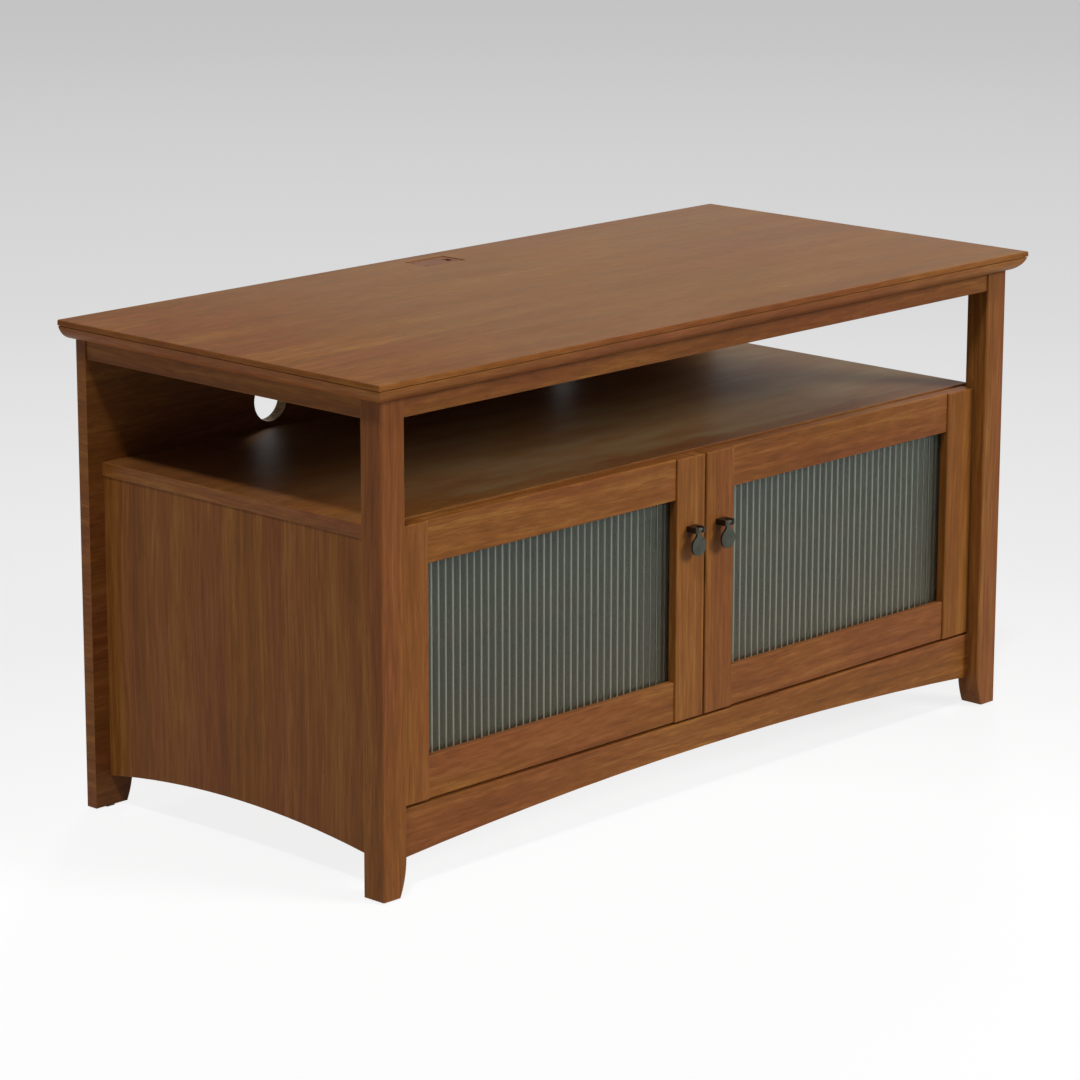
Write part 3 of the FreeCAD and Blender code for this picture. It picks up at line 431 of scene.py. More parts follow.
    def chipboard_walls(self, tree: NodeTree, place: Link, colour: Link) -> Link:
        """Show the bare chipboard on the walls of the bored holes.

        Args:
            tree: The material's tree.
            place: The place on the board.
            colour: The laminate's colour.

        Returns:
            The colour with the holes' walls.
        """
        chips = add(tree, "TexVoronoi", {
            "Vector": place, "Scale": 1 / (self.chip_width * MM)}).outputs["Color"]
        shade = add(tree, "SeparateColor", {"Color": chips})
        raw = add(tree, "ValToRGB", {"Fac": shade}, stops=[(0.1, "#7E6244"), (0.9, "#C2A57C")])
        for hole in self.raw_holes:
            middle = [value * MM for value in hole]
            away = add(tree, "VectorMath", {0: place, 1: middle}, operation="SUBTRACT")
            flat = add(tree, "VectorMath", {0: away, 1: (1.0, 0.0, 1.0)}, operation="MULTIPLY")
            radius = add(tree, "VectorMath", {0: flat}, operation="LENGTH")
            inside = add(tree, "Math", {0: radius, 1: self.hole_radius * MM}, operation="LESS_THAN")
            colour = add(tree, "Mix", {"Factor": inside, "A": colour, "B": raw}, data_type="RGBA")
        return colour


@dataclass(frozen=True)
class ReededGlass(Finish):
    """Rolled soda-lime glass: faintly green and blurred, with a skin that dulls the light.

    Its colour changes from the foot of the pane to its head, a painted reflection of the
    surroundings. Sizes are in millimetres.
    """

    name: str
    upper: str
    lower: str
    clear: float
    rough: float
    foot: float = 138.0
    head: float = 346.0
    ripple_width: float = 2.5
    ripple_length: float = 100 / 3

    def paint(self, tree: NodeTree, place: NodeSocket) -> None:
        """Make the glass.

        Args:
            tree: The material's tree.
            place: The place on the piece.
        """
        height = add(tree, "SeparateXYZ", {0: place}).outputs["Z"]
        rise = add(tree, "MapRange", {
            "Value": height, "From Min": self.foot * MM, "From Max": self.head * MM})
        # Greener at the head, warmer at the foot: a painted reflection.
        tint_and_reflection = add(tree, "Mix", {
            "Factor": rise, "A": linear(self.lower), "B": linear(self.upper)}, data_type="RGBA")
        across, along = 1 / (self.ripple_width * MM), 1 / (self.ripple_length * MM)
        drawn = add(tree, "VectorMath", {0: place, 1: (across, across, along)},
                    operation="MULTIPLY")
        ripple = add(tree, "TexNoise", {"Vector": drawn, "Scale": 1.0, "Detail": 2.0})
        coat(tree, tint_and_reflection, (ripple, self.rough * 0.8, self.rough * 1.2), (ripple, 0.15, 0.2), {
            "IOR": 1.52, "Transmission Weight": self.clear, "Specular Tint": linear("#B4BAB4")})


@dataclass(frozen=True)
class PlatedMetal(Finish):
    """A plated or blackened metal: smooth, with drawn lines and a little tarnish in its colour.

    Real drawn lines are finer than a hair, too fine to show in the render, so they are drawn as
    coarse as they need to show. Sizes are in millimetres.
    """

    name: str
    bright: str
    dull: str
    rough: float
    worn: str
    line_width: float = 0.6
    line_length: float = 50 / 3
    tarnish_width: float = 9.0

    def paint(self, tree: NodeTree, place: NodeSocket) -> None:
        """Make the metal.

        Args:
            tree: The material's tree.
            place: The place on the piece.
        """
        across, along = 1 / (self.line_width * MM), 1 / (self.line_length * MM)
        drawn = add(tree, "VectorMath", {0: place, 1: (across, across, along)},
                    operation="MULTIPLY")
        brush = add(tree, "TexNoise", {"Vector": drawn, "Scale": 1.0, "Detail": 2.0})
        cloud = add(tree, "TexNoise", {
            "Vector": place, "Scale": 1 / (self.tarnish_width * MM), "Detail": 3.0})
        colour = add(tree, "ValToRGB", {"Fac": cloud},
                     stops=[(0.35, self.dull), (0.65, self.bright)])
        # The arrises take the edge colour: wear and painted edge light.
        colour = rubbed_edges(tree, colour, self.worn, reach=0.5, bend=(0.97, 0.75), most=0.5)
        coat(tree, colour, (brush, self.rough - 0.06, self.rough + 0.08), (brush, 0.08, 0.1),
             {"Metallic": 1.0})


@dataclass(frozen=True)
class MouldedPlastic(Finish):
    """Moulded ABS with a spark-eroded grain: even in colour, dull and finely pitted.

    Real pits are about a tenth of a millimetre, too fine to show in the render, so they are drawn
    as coarse as they need to show. Sizes are in millimetres.
    """

    name: str
    colour: str
    rough: float
    pit_width: float = 0.9
    cloud_width: float = 18.0

    def paint(self, tree: NodeTree, place: NodeSocket) -> None:
        """Make the plastic.

        Args:
            tree: The material's tree.
            place: The place on the piece.
        """
        pits, cloud = [
            add(tree, "TexNoise", {
                "Vector": place, "Scale": 1 / (width * MM), "Detail": 2.0})
            for width in (self.pit_width, self.cloud_width)]
        light = add(tree, "MapRange", {"Value": cloud, "To Min": 0.85, "To Max": 1.15})
        colour = add(tree, "VectorMath", {0: linear(self.colour)[:3], "Scale": light},
                     operation="SCALE")
        coat(tree, colour, (pits, self.rough - 0.08, self.rough + 0.08), (pits, 0.2, 0.1),
             {"IOR": 1.53, "Specular IOR Level": 0.3})


# Satin cherry print along the boards that lie lengthwise.
LONG_LAMINATE = CherryLaminate("cherry_laminate_along_x", Grain.ALONG_X)
# The same print on upright boards, where its streaks are longer and calmer.
UPRIGHT_LAMINATE = CherryLaminate(
    "cherry_laminate_along_z", Grain.ALONG_Z, stretch=34.0, ring_width=14.0, evenness=0.11)
# A duller top under dust and painted sheen, with painted light on the moulding below its lip.
TOP_LAMINATE = CherryLaminate(
    "cherry_laminate_along_x_top", Grain.ALONG_X, gloss=0.08, dust=0.3, dust_least=0.7,
    moulding=1.45)
# The same print across the stand.
CROSS_LAMINATE = CherryLaminate("cherry_laminate_along_y", Grain.ALONG_Y)
# A shinier shelf greyed by dust and painted sheen, except in a strip along its front.
SHELF_LAMINATE = CherryLaminate(
    "cherry_laminate_along_x_dusted", Grain.ALONG_X, gloss=0.18, dust=0.8, dust_least=0.45,
    dust_front=-165.0)
# The reeds: a grey-green blur of what stands behind, warmer low down, a painted reflection.
PANE_GLASS = ReededGlass("rolled_reeded_glass", "#AAB4A3", "#B0A685", 0.95, 0.20)
# Pale lines along the valleys: a painted highlight, in a duller, less clear glass.
VALLEY_HIGHLIGHT_GLASS = ReededGlass("rolled_glass_valley", "#949F94", "#969884", 0.35, 0.45)
# Posts and pins that are almost black, with pale arrises: wear and a painted highlight.
DARK_BRONZE = PlatedMetal("blackened_bronze", "#4A463F", "#38352F", 0.32, "#A39D90")
# Pendants that fingers rub: greyer and duller, with dark arrises of painted shade.
RUBBED_BRONZE = PlatedMetal("rubbed_bronze", "#50534A", "#43463E", 0.42, "#2C2B27")
# Bright, cool fittings with paler arrises: wear and a painted highlight.
NICKEL = PlatedMetal("nickel_plated_steel", "#B9B6AE", "#A5A199", 0.28, "#D2CFC7")
# A dull brown close to the laminate's.
BROWN_PLASTIC = MouldedPlastic("brown_abs", "#74472A", 0.50)
# A dull black without glints.
BLACK_PLASTIC = MouldedPlastic("black_abs", "#1B1A19", 0.55)


def new_piece(name: str, mesh: Mesh, body: str) -> Object:
    """Put a finished mesh in the scene as a piece that rides on a body.

    Args:
        name: The piece's name.
        mesh: Its mesh, with its place in it.
        body: The body that it moves with.

    Returns:
        The piece.
    """
    piece = bpy.data.objects.new(name, mesh)
    bpy.context.scene.collection.objects.link(piece)
    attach(piece, body)
    LOG.info("%s: %d faces on %s", name, len(mesh.polygons), body)
    return piece


def finished_mesh(shape: BMesh, name: str) -> Mesh:
    """Turn an edited shape into a mesh and let the shape go.

    Args:
        shape: The shape.
        name: The mesh's name.

    Returns:
        The mesh.
    """
    mesh = bpy.data.meshes.new(name)
    shape.to_mesh(mesh)
    shape.free()
    return mesh


def wall(shape: BMesh, first: list[BMVert], second: list[BMVert]) -> None:
    """Put a band of faces between two closed rings of points.

    Args:
        shape: The shape that the faces go into.
        first: One ring.
        second: The other, with as many points.
    """
    for corners in zip(first, first[1:] + first[:1], second[1:] + second[:1], second):
        shape.faces.new(corners)


def start_tree(name: str, sockets: dict[str, str]) -> tuple[NodeTree, dict[str, NodeSocket]]:
    """Start a geometry tree with a geometry going in and out and named inputs.

    Args:
        name: The tree's name.
        sockets: Each further input's name and kind.

    Returns:
        The tree and its inputs' sockets by name.
    """
    tree = bpy.data.node_groups.new(name, "GeometryNodeTree")
    for label, kind in {"Geometry": "NodeSocketGeometry", **sockets}.items():
        tree.interface.new_socket(label, in_out="INPUT", socket_type=kind)
    tree.interface.new_socket("Geometry", in_out="OUTPUT", socket_type="NodeSocketGeometry")
    given = add(tree, "NodeGroupInput")
    return tree, {socket.name: socket for socket in given.outputs if socket.name}


def grow(name: str, seed: Mesh, tree: NodeTree, values: dict[str, Any]) -> Mesh:
    """Run a geometry tree on a mesh and keep the result as a plain mesh.

    Args:
        name: The new mesh's name.
        seed: The mesh that the tree starts from.
        tree: The tree.
        values: The tree's inputs by name.

    Returns:
        The plain mesh.
    """
    holder = bpy.data.objects.new(name, seed)
    bpy.context.scene.collection.objects.link(holder)
    modifier = holder.modifiers.new(name, "NODES")
    modifier.node_group = tree
    for item in tree.interface.items_tree:
        if item.in_out == "INPUT" and item.name in values:
            modifier[item.identifier] = values[item.name]
    graph = bpy.context.evaluated_depsgraph_get()
    mesh = bpy.data.meshes.new_from_object(holder.evaluated_get(graph), depsgraph=graph)
    mesh.name = name
    holder.modifiers.remove(modifier)
    bpy.data.objects.remove(holder)
    return mesh


def dress_nodes(plan: dict[Finish, tuple[str, ...]], prefix: str = "") -> None:
    """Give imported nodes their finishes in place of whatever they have.

    Args:
        plan: The nodes that each finish goes on.
        prefix: What their names start with.
    """
    for finish, nodes in plan.items():
        for name in (prefix + node for node in nodes):
            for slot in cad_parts[name].material_slots:
                slot.material = finish.material
            LOG.info("%s: %s", name, finish.material.name)


@dataclass
class MouldedTop:
    """The top panel with its edge run smooth: a lip, a quirk and a convex moulding, mitred.

    Sizes are in millimetres, and the crease is the bend in degrees that first shows as an edge.
    """

    length: float = 1067.0
    depth: float = 497.0
    height: float = 553.0
    thickness: float = 22.5
    lip: float = 6.0
    quirk: Pair = (2.4, 1.2)
    start: float = 0.8
    moulding: float = 17.0
    radius: float = 22.5
    easing: float = 1.5
    easing_steps: int = 3
    steps: int = 14
    insert: Pair = (64.0, 39.0)
    insert_edge: float = 21.5
    insert_drop: float = 2.8
    insert_ledge: float = 5.0
    crease: float = 18.0

    def profile(self) -> Iterator[Pair]:
        """Walk down the edge's section.

        Yields:
            The distance in from the edge and the height.
        """
        for turn in range(self.easing_steps + 1):
            angle = math.pi / 2 * turn / self.easing_steps
            yield (self.easing * (1 - math.sin(angle)),
                   self.height - self.easing * (1 - math.cos(angle)))
        under_lip = self.height - self.lip
        yield (0.0, under_lip)
        yield (self.quirk[0], under_lip)
        yield (self.quirk[0], under_lip - self.quirk[1])
        start = Vector((self.start, under_lip - self.quirk[1]))
        stop = Vector((self.moulding, self.height - self.thickness))
        chord = stop - start
        inward = Vector((-chord.y, chord.x)).normalized()
        rise = math.sqrt(self.radius ** 2 - chord.length_squared / 4)
        centre = (start + stop) / 2 + inward * rise
        first = math.atan2(start.y - centre.y, start.x - centre.x)
        last = math.atan2(stop.y - centre.y, stop.x - centre.x)
        sweep = (last - first + math.pi) % (2 * math.pi) - math.pi
        for step in range(self.steps + 1):
            angle = first + sweep * step / self.steps
            yield (centre.x + self.radius * math.cos(angle),
                   centre.y + self.radius * math.sin(angle))

    def outlines(self) -> Iterator[tuple[Pair, Pair, float]]:
        """List the panel's rings, from the foot of the insert's opening out to the underside.

        Yields:
            The front left corner, the rear right corner and the height.
        """
        x, y = self.length / 2, self.depth / 2
        wide, rear = self.insert[0] / 2, y - self.insert_edge
        front, ledge = rear - self.insert[1], self.insert_ledge
        bottom, sunk = self.height - self.thickness, self.height - self.insert_drop
        narrow = (ledge - wide, front + ledge), (wide - ledge, rear - ledge)
        yield *narrow, bottom
        yield *narrow, sunk
        for level in (sunk, self.height):
            yield (-wide, front), (wide, rear), level
        for inset, level in self.profile():
            yield (inset - x, inset - y), (x - inset, y), level

    def build(self) -> None:
        """Build the panel with the opening for the cable insert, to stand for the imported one."""
        shape = bmesh.new()
        rings = []
        for (left, front), (right, rear), level in self.outlines():
            corners = ((left, front), (right, front), (right, rear), (left, rear))
            rings.append([shape.verts.new((x * MM, y * MM, level * MM)) for x, y in corners])
        for upper, lower in zip(rings, rings[1:] + rings[:1]):
            wall(shape, upper, lower)
        bmesh.ops.recalc_face_normals(shape, faces=shape.faces)
        for face in shape.faces:
            face.smooth = True
        for edge in shape.edges:
            edge.smooth = edge.calc_face_angle(0.0) < math.radians(self.crease)
        mesh = finished_mesh(shape, "top_panel_moulded")
        mesh.materials.append(TOP_LAMINATE.material)
        piece = new_piece("top_panel_moulded", mesh, "stand")
        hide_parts("top_panel")


@dataclass
class Carcass:
    """The boards that stay still, and their fittings; sizes are in millimetres."""

    hole_offset: float = 245.0
    hole_height: float = 424.0

    def dress(self) -> None:
        """Give every board its grain and every fitting its finish."""
        holes = tuple((side.value * self.hole_offset, 0.0, self.hole_height) for side in Side)
        # The satin print again, with the raw chipboard in the bored holes.
        bored = CherryLaminate("cherry_laminate_along_x_with_raw_holes", Grain.ALONG_X, holes)
        dress_nodes({
            LONG_LAMINATE: ("arched_rail", "front_apron", "bottom_panel", "left_inner_shelf",
                            "right_inner_shelf"),
            UPRIGHT_LAMINATE: ("left_post", "right_post", "left_side_panel", "right_side_panel",
                               "centre_divider"),
            CROSS_LAMINATE: ("left_apron", "right_apron"),
            bored: ("back_panel",),
            SHELF_LAMINATE: ("media_shelf",),
            BROWN_PLASTIC: ("cable_insert_frame", "cable_insert_cover"),
            BLACK_PLASTIC: ("foot_glides", "left_magnetic_catch", "right_magnetic_catch"),
            NICKEL: ("shelf_pins", "top_brackets", "left_hinge_arms", "right_hinge_arms")})


@dataclass
class ReededPane:
    """A pane whose front is rolled into convex reeds; sizes are in millimetres and degrees."""

    side: Side
    pitch: float = 10.6
    flat: float = 0.8
    rise: float = 0.7
    line: float = 1.6
    fade: Pair = (60.0, 16.0)
    step: float = 0.3
    crease: float = 6.0

    def tree(self) -> NodeTree:
        """Build the tree that rolls a slab's front into reeds and paints highlights in the valleys.

        Returns:
            The tree.
        """
        lengths = ("First Valley", "Half Pitch", "Half Valley", "Reed Rise", "Half Line",
                   "Fade From", "Fade To")
        tree, given = start_tree("reeded_pane", {
            "Size": "NodeSocketVector", "Middle": "NodeSocketVector", "Columns": "NodeSocketInt",
            **dict.fromkeys(lengths, "NodeSocketFloat"),
            "Glass": "NodeSocketMaterial", "Valley Glass": "NodeSocketMaterial"})
        slab = add(tree, "GeometryNodeMeshCube", {
            "Size": given["Size"], "Vertices X": given["Columns"], "Vertices Y": 2,
            "Vertices Z": 2})
        placed = add(tree, "GeometryNodeTransform", {
            "Geometry": slab, "Translation": given["Middle"]})
        position = add(tree, "GeometryNodeInputPosition")
        place = add(tree, "SeparateXYZ", {0: position}).outputs
        along = add(tree, "Math", {0: place["X"], 1: given["First Valley"]}, operation="SUBTRACT")
        nearest = add(tree, "Math", {0: along, 1: given["Half Pitch"]}, operation="PINGPONG")
        fall = add(tree, "MapRange", {
            "Value": nearest, "From Min": given["Half Pitch"], "From Max": given["Half Valley"]})
        squared = add(tree, "Math", {0: fall, 1: fall}, operation="MULTIPLY")
        height = add(tree, "MapRange", {
            "Value": squared, "To Min": given["Reed Rise"], "To Max": 0.0})
        push = add(tree, "VectorMath", {0: (0.0, -1.0, 0.0), "Scale": height}, operation="SCALE")
        middle = add(tree, "SeparateXYZ", {0: given["Middle"]}).outputs["Y"]
        front = add(tree, "Math", {0: place["Y"], 1: middle}, operation="LESS_THAN")
        rolled = add(tree, "GeometryNodeSetPosition", {
            "Geometry": placed, "Selection": front, "Offset": push})
        smooth = add(tree, "GeometryNodeSetShadeSmooth", {"Geometry": rolled}, domain="FACE")
        bend = add(tree, "GeometryNodeInputMeshEdgeAngle")
        sharp = add(tree, "Math", {0: bend, 1: math.radians(self.crease)}, operation="GREATER_THAN")
        creased = add(tree, "GeometryNodeSetShadeSmooth", {
            "Geometry": smooth, "Selection": sharp, "Shade Smooth": False}, domain="EDGE")
        whole = add(tree, "GeometryNodeRealizeInstances", {0: creased})
        glass = add(tree, "GeometryNodeSetMaterial", {
            "Geometry": whole, "Material": given["Glass"]})
        # Painted highlight lines along the valleys, narrowing to nothing near the pane's right end.
        width = add(tree, "MapRange", {
            "Value": place["X"], "From Min": given["Fade From"], "From Max": given["Fade To"],
            "To Min": given["Half Line"], "To Max": 0.0})
        pale = add(tree, "Math", {0: nearest, 1: width}, operation="LESS_THAN")
        lines = add(tree, "GeometryNodeSetMaterial", {
            "Geometry": glass, "Selection": pale, "Material": given["Valley Glass"]})
        add(tree, "NodeGroupOutput", {0: lines})
        return tree

    def build(self, tree: NodeTree) -> None:
        """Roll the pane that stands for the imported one.

        Args:
            tree: The tree that rolls panes.
        """
        node = f"{self.side.word}_door_glass"
        low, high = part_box(node)
        front = low.y + self.rise * MM
        size = (high.x - low.x, high.y - front, high.z - low.z)
        middle = ((low.x + high.x) / 2, (front + high.y) / 2, (low.z + high.z) / 2)
        name = f"{self.side.word}_door_reeded_pane"
        mesh = grow(name, bpy.data.meshes.new(name), tree, {
            "Size": size, "Columns": round(size[0] / (self.step * MM)), "Middle": middle,
            "First Valley": low.x + self.flat * MM / 2, "Half Pitch": self.pitch * MM / 2,
            "Half Valley": self.flat * MM / 2, "Reed Rise": self.rise * MM,
            "Half Line": self.line * MM / 2, "Fade From": high.x - self.fade[0] * MM,
            "Fade To": high.x - self.fade[1] * MM, "Glass": PANE_GLASS.material,
            "Valley Glass": VALLEY_HIGHLIGHT_GLASS.material})
        piece = new_piece(name, mesh, self.side.door)
        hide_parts(node)


@dataclass
class Door:
    """One door's frame and hardware. Its pane is a class of its own."""

    side: Side

    def dress(self) -> None:
        """Give the frame its grain and the hardware its metals."""
        dress_nodes({
            UPRIGHT_LAMINATE: ("door_hinge_stile", "door_meeting_stile"),
            LONG_LAMINATE: ("door_top_rail", "door_bottom_rail"),
            NICKEL: ("hinge_cups", "hinge_pins", "strike_plate"),
            BLACK_PLASTIC: ("glass_clips",),
            DARK_BRONZE: ("pull_post", "pull_pin"),
            RUBBED_BRONZE: ("pull_pendant",)}, f"{self.side.word}_")


@dataclass
class Screws:
    """Cross-headed screws that hold the back, the fittings and the pulls.

    The head is drawn for a diameter of one and scaled. Places and diameters are in millimetres.
    """

    rim: int = 20
    section: tuple[Pair, ...] = ((0.5, 0.0), (0.5, 0.08), (0.44, 0.18), (0.34, 0.26))
    slot: float = 0.11
    reach: float = 0.30
    recess_taper: float = 0.7
    recess_floor: float = 0.06
    back_head: float = 7.0
    fitting_head: float = 6.5
    clip_head: float = 5.5
    pull_head: float = 8.0
    back: float = 240.5
    board_columns: tuple[float, ...] = (-440.0, -220.0, 0.0, 220.0, 440.0)
    board_rows: Pair = (385.5, 82.0)
    upright_columns: tuple[float, ...] = (-487.0, 0.0, 487.0)
    upright_rows: Pair = (160.0, 310.0)
    bracket_x: float = 320.0
    bracket_y: Pair = (-210.5, 225.5)
    bracket_z: Pair = (520.5, 528.5)
    bracket_side: float = 495.0
    bracket_thickness: float = 2.0
    bracket_reach: float = 10.0
    hinge_rows: Pair = (152.0, 331.5)
    plate: Pair = (478.5, -167.0)
    plate_rise: float = 13.0
    cup: Pair = (457.5, -195.8)
    cup_rise: float = 22.5
    door_back: float = -195.0
    pane_x: Pair = (40.5, 439.0)
    pane_z: Pair = (131.0, 352.5)
    clip_columns: Pair = (117.5, 362.0)
    clip_offset: float = 6.5
    pull: Point = (24.5, -197.0, 311.0)

    def head(self) -> Object:
        """Build one head on its seat, with a cross recess.

        Returns:
            An object that the tree copies.
        """
        shape = bmesh.new()
        s, r = self.slot, self.reach
        cross = [(r, -s), (r, s), (s, s), (s, r), (-s, r), (-s, s), (-r, s), (-r, -s), (-s, -s),
                 (-s, -r), (s, -r), (s, -s)]
        turns = [2 * math.pi * (i + 0.5) / self.rim for i in range(self.rim)]
        rings = [[shape.verts.new((across * math.cos(t), across * math.sin(t), level))
                  for t in turns] for across, level in self.section]
        for lower, upper in zip(rings, rings[1:]):
            wall(shape, lower, upper)
        top, taper = self.section[-1][1], self.recess_taper
        mouth = [shape.verts.new((x, y, top)) for x, y in cross]
        floor = [shape.verts.new((x * taper, y * taper, self.recess_floor)) for x, y in cross]
        for corners in zip(mouth[1:] + mouth[:1], mouth, floor, floor[1:] + floor[:1]):
            shape.faces.new(corners)
        shape.faces.new(floor)
        rims = [shape.edges.get(ends) for ring in (rings[-1], mouth)
                for ends in zip(ring, ring[1:] + ring[:1])]
        bmesh.ops.bridge_loops(shape, edges=rims)
        shape.faces.new(rings[0][::-1])
        bmesh.ops.recalc_face_normals(shape, faces=shape.faces)
        return bpy.data.objects.new("screw_head", finished_mesh(shape, "screw_head"))

    def tree(self) -> NodeTree:
        """Build the tree that sets a screw at each point, facing out, each turned by chance.

        Returns:
            The tree.
        """
        tree, given = start_tree("screws", {
            "Head": "NodeSocketObject", "Metal": "NodeSocketMaterial", "Seed": "NodeSocketInt"})
        head = add(tree, "GeometryNodeObjectInfo", {"Object": given["Head"], "As Instance": True})
        facing = add(tree, "GeometryNodeInputNamedAttribute", {"Name": "facing"},
                     data_type="FLOAT_VECTOR")
        across = add(tree, "GeometryNodeInputNamedAttribute", {"Name": "across"}, data_type="FLOAT")
        spin = add(tree, "FunctionNodeRandomValue", {
            "Min": 0.0, "Max": math.pi / 2, "Seed": given["Seed"]}, data_type="FLOAT")
        turn = add(tree, "CombineXYZ", {"Z": spin})
        turned = add(tree, "FunctionNodeEulerToRotation", {0: turn})
        upright = add(tree, "FunctionNodeAlignRotationToVector", {"Vector": facing}, axis="Z")
        aimed = add(tree, "FunctionNodeRotateRotation", {
            "Rotation": upright, "Rotate By": turned}, rotation_space="LOCAL")
        set_out = add(tree, "GeometryNodeInstanceOnPoints", {
            "Points": given["Geometry"], "Instance": head.outputs["Geometry"], "Rotation": aimed,
            "Scale": across})
        whole = add(tree, "GeometryNodeRealizeInstances", {0: set_out})
        metal = add(tree, "GeometryNodeSetMaterial", {
            "Geometry": whole, "Material": given["Metal"]})
        add(tree, "NodeGroupOutput", {0: metal})
        return tree

    def on_stand(self) -> Iterator[Spot]:
        """List the screws of the back panel, the top's brackets and the hinge plates.

        Yields:
            A place, the way the head faces, and its diameter.
        """
        for columns, rows in ((self.board_columns, self.board_rows),
                              (self.upright_columns, self.upright_rows)):
            for x in columns:
                for z in rows:
                    yield (x, self.back, z), (0, 1, 0), self.back_head
        low, high = self.bracket_z
        for x in (-self.bracket_x, self.bracket_x):
            for y, way in zip(self.bracket_y, (1, -1)):
                yield (x, y + self.bracket_thickness * way, low), (0, way, 0), self.fitting_head
                yield (x, y + self.bracket_reach * way, high), (0, 0, -1), self.fitting_head
        upright, level = [self.bracket_side - inward
                          for inward in (self.bracket_thickness, self.bracket_reach)]
        for sign in (side.value for side in Side):
            yield (sign * upright, 0.0, low), (-sign, 0, 0), self.fitting_head
            yield (sign * level, 0.0, high), (0, 0, -1), self.fitting_head
            x, y = self.plate
            for z in self.hinge_rows:
                for rise in (-self.plate_rise, self.plate_rise):
                    yield (sign * x, y, z + rise), (-sign, 0, 0), self.fitting_head

    def on_door(self, side: Side) -> Iterator[Spot]:
        """List the screws behind one door: hinge cups, glass clips and the pull.

        Args:
            side: The door's half of the stand.

        Yields:
            A place, the way the head faces, and its diameter.
        """
        sign, backward = side.value, (0, 1, 0)
        for z in self.hinge_rows:
            for rise in (-self.cup_rise, self.cup_rise):
                yield (sign * self.cup[0], self.cup[1], z + rise), backward, self.fitting_head
        (near, far), (low, high) = self.pane_x, self.pane_z
        clips = [(x, z) for x in self.clip_columns
                 for z in (low - self.clip_offset, high + self.clip_offset)]
        clips += [(x, (low + high) / 2) for x in (near - self.clip_offset, far + self.clip_offset)]
        for x, z in clips:
            yield (sign * x, self.door_back, z), backward, self.clip_head
        x, y, z = self.pull
        yield (sign * x, y, z), backward, self.pull_head

    def build(self) -> None:
        """Set out the screws, one mesh for each body."""
        head, tree = self.head(), self.tree()
        plan = {"stand": self.on_stand(), **{side.door: self.on_door(side) for side in Side}}
        for seed, (body, spots) in enumerate(plan.items()):
            places, ways, widths = zip(*spots)
            points = bpy.data.meshes.new(f"{body}_screw_points")
            points.from_pydata([[value * MM for value in place] for place in places], [], [])
            facing = points.attributes.new("facing", "FLOAT_VECTOR", "POINT")
            facing.data.foreach_set("vector", [value for way in ways for value in way])
            across = points.attributes.new("across", "FLOAT", "POINT")
            across.data.foreach_set("value", [width * MM for width in widths])
            mesh = grow(f"{body}_screws", points, tree, {
                "Head": head, "Metal": NICKEL.material, "Seed": seed})
            new_piece(f"{body}_screws", mesh, body)
        bpy.data.objects.remove(head)


def seen_rays(tree: NodeTree) -> Link:
    """Tell the rays that show a background from those that light the stand.

    Args:
        tree: The tree of the floor or the world.

    Returns:
        One for camera, glossy and clear rays, and nought for the others.
    """
    path = add(tree, "LightPath").outputs
    seen = path["Is Camera Ray"]
    for kind in ("Is Glossy Ray", "Is Transmission Ray"):
        seen = add(tree, "Math", {0: seen, 1: path[kind]}, operation="MAXIMUM")
    return seen


@dataclass(frozen=True)
class Lamp:
    """One soft light, far off, from a place that gives only its direction.

    Its strength is in watts a square metre and its spread in degrees.
    """

    name: str
    place: Point
    strength: float
    spread: float
    glints: bool = False

    def hang(self) -> None:
        """Put the light in the scene."""
        light = bpy.data.lights.new(self.name, "SUN")
        light.angle = math.radians(self.spread)
        light.energy = self.strength
        lamp = bpy.data.objects.new(self.name, light)
        lamp.rotation_euler = (-Vector(self.place)).to_track_quat("-Z", "Y").to_euler()
        lamp.visible_glossy = self.glints
        bpy.context.scene.collection.objects.link(lamp)


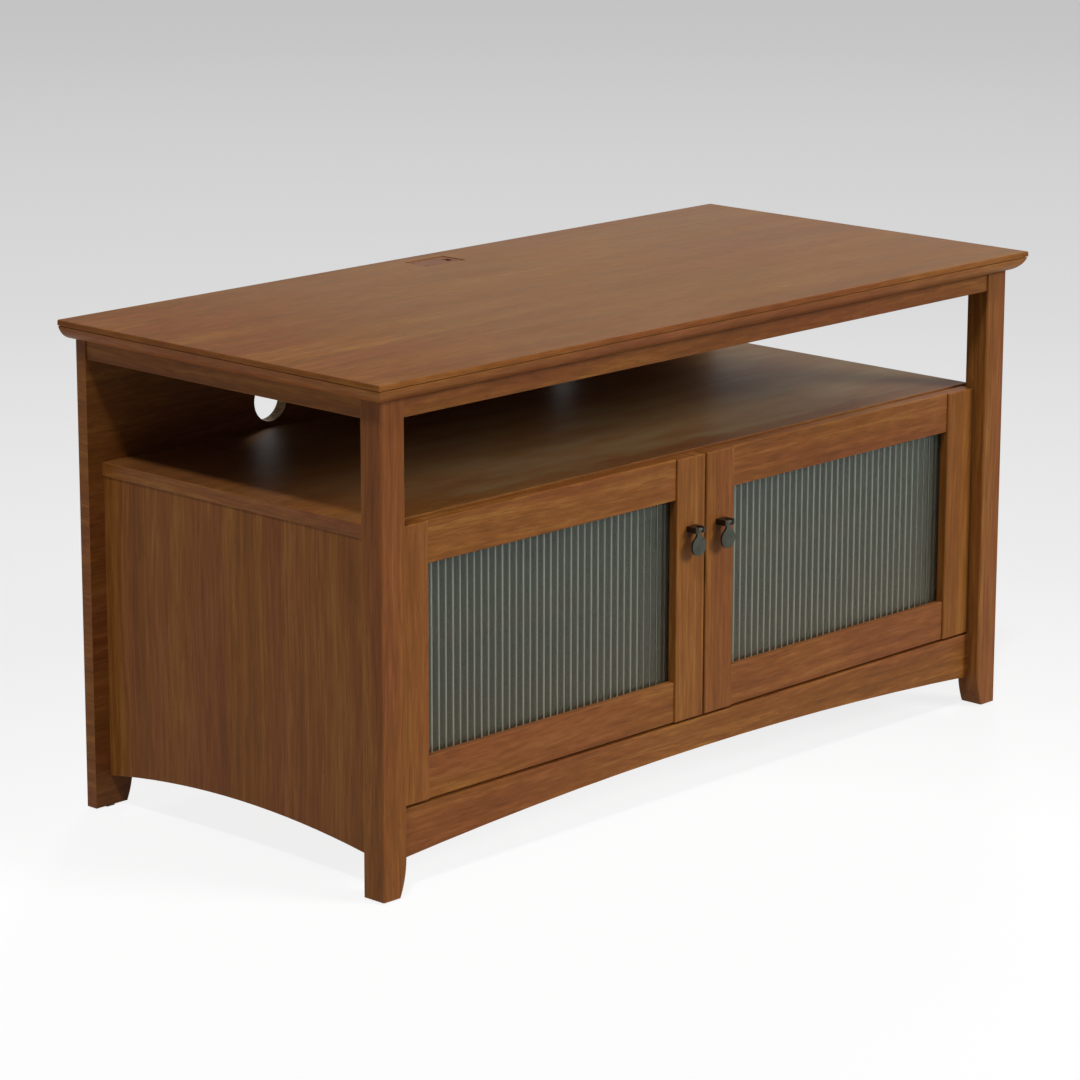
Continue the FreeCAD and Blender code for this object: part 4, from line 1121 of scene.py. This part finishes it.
@dataclass
class Studio:
    """The floor, the light and the camera.

    The camera's place and sensor are in millimetres, its angles in radians, and its focal length,
    centre and picture in pixels. The floor's sizes are in metres.
    """

    camera_place: Point = (-3262.8, -3062.1, 1381.9)
    yaw: float = 0.803003
    pitch: float = 0.235914
    focal_pixels: float = 4029.5
    centre: Pair = (508.83, 496.61)
    picture: float = 1080.0
    sensor: float = 36.0
    sight: float = 100.0
    lamps: tuple[Lamp, ...] = (
        Lamp("key", (0.42, -0.77, 0.48), 2.40, 25.0, glints=True),
        Lamp("left_window", (-0.40, -0.30, 0.865), 1.38, 6.0),
        Lamp("left_wall", (-1.0, 0.0, 0.06), 0.36, 8.0),
        Lamp("right_window", (0.70, 0.55, 0.45), 1.0, 12.0))
    floor_half: float = 30.0
    floor_bounce: float = 0.45
    floor_glow: float = 0.85
    pale_middle: Point = (-0.73, -0.69, 0.0)
    grey_reach: float = 10.0
    greys: tuple[tuple[float, str], ...] = (
        (0.0, "#FFFFFF"), (0.09, "#FFFFFF"), (0.205, "#ECECEC"), (0.385, "#DADADA"),
        (0.77, "#C6C6C6"), (1.0, "#C0C0C0"))
    backdrop: str = "#C2C2C2"
    horizon: float = 0.02
    zenith: float = 0.2

    def build(self) -> None:
        """Set up the studio."""
        bpy.context.scene.view_settings.view_transform = "Standard"
        self.floor()
        self.world()
        for lamp in self.lamps:
            lamp.hang()
        self.camera()

    def camera(self) -> None:
        """Set the camera at the photograph's place, with its framing."""
        lens = bpy.data.cameras.new("camera")
        lens.sensor_width = self.sensor
        lens.lens = self.focal_pixels * self.sensor / self.picture
        lens.shift_x = 0.5 - self.centre[0] / self.picture
        lens.shift_y = self.centre[1] / self.picture - 0.5
        lens.clip_end = self.sight
        camera = bpy.data.objects.new("camera", lens)
        camera.location = [value * MM for value in self.camera_place]
        camera.rotation_euler = Euler((math.pi / 2 - self.pitch, 0.0, -self.yaw))
        bpy.context.scene.collection.objects.link(camera)
        bpy.context.scene.camera = camera

    def floor(self) -> None:
        """Lay a pale floor that greys with distance: painted shade, as the light falls off."""
        shape = bmesh.new()
        bmesh.ops.create_grid(shape, x_segments=1, y_segments=1, size=self.floor_half)
        floor = bpy.data.objects.new("floor", finished_mesh(shape, "floor"))
        bpy.context.scene.collection.objects.link(floor)
        material = bpy.data.materials.new("pale_floor")
        tree = empty_tree(material)
        place = add(tree, "TexCoord").outputs["Object"]
        across = add(tree, "VectorMath", {0: place, 1: self.pale_middle}, operation="DISTANCE")
        share = add(tree, "MapRange", {"Value": across, "From Max": self.grey_reach})
        colour = add(tree, "ValToRGB", {"Fac": share}, stops=list(self.greys))
        seen = seen_rays(tree)
        light = add(tree, "MapRange", {"Value": seen, "To Min": self.floor_bounce})
        lit = add(tree, "VectorMath", {0: colour, "Scale": light}, operation="SCALE")
        matt = add(tree, "BsdfDiffuse", {"Color": lit})
        glow = add(tree, "Emission", {"Color": colour})
        part = add(tree, "Math", {0: seen, 1: self.floor_glow}, operation="MULTIPLY")
        mixed = add(tree, "MixShader", {0: part, 1: matt, 2: glow})
        add(tree, "OutputMaterial", {0: mixed})
        floor.data.materials.append(material)

    def world(self) -> None:
        """Light the stand from a dome that is brighter overhead, behind a grey backdrop."""
        world = bpy.data.worlds.new("studio")
        tree = empty_tree(world)
        way = add(tree, "TexCoord").outputs["Generated"]
        rise = add(tree, "SeparateXYZ", {0: way}).outputs["Z"]
        high = add(tree, "Math", {0: rise, 1: rise}, operation="MULTIPLY")
        strength = add(tree, "MapRange", {
            "Value": high, "To Min": self.horizon, "To Max": self.zenith})
        light = add(tree, "Background", {"Color": linear("#FFFFFF"), "Strength": strength})
        backdrop = add(tree, "Background", {"Color": linear(self.backdrop)})
        mixed = add(tree, "MixShader", {0: seen_rays(tree), 1: light, 2: backdrop})
        add(tree, "OutputWorld", {0: mixed})
        bpy.context.scene.world = world


def main() -> None:
    """Dress the stand, add its finer pieces and light it."""
    logging.basicConfig(level=logging.INFO, format="%(message)s")
    Carcass().dress()
    MouldedTop().build()
    rolling = ReededPane(Side.LEFT).tree()
    for side in Side:
        Door(side).dress()
        ReededPane(side).build(rolling)
    Screws().build()
    Studio().build()


if __name__ == "__main__":
    main()
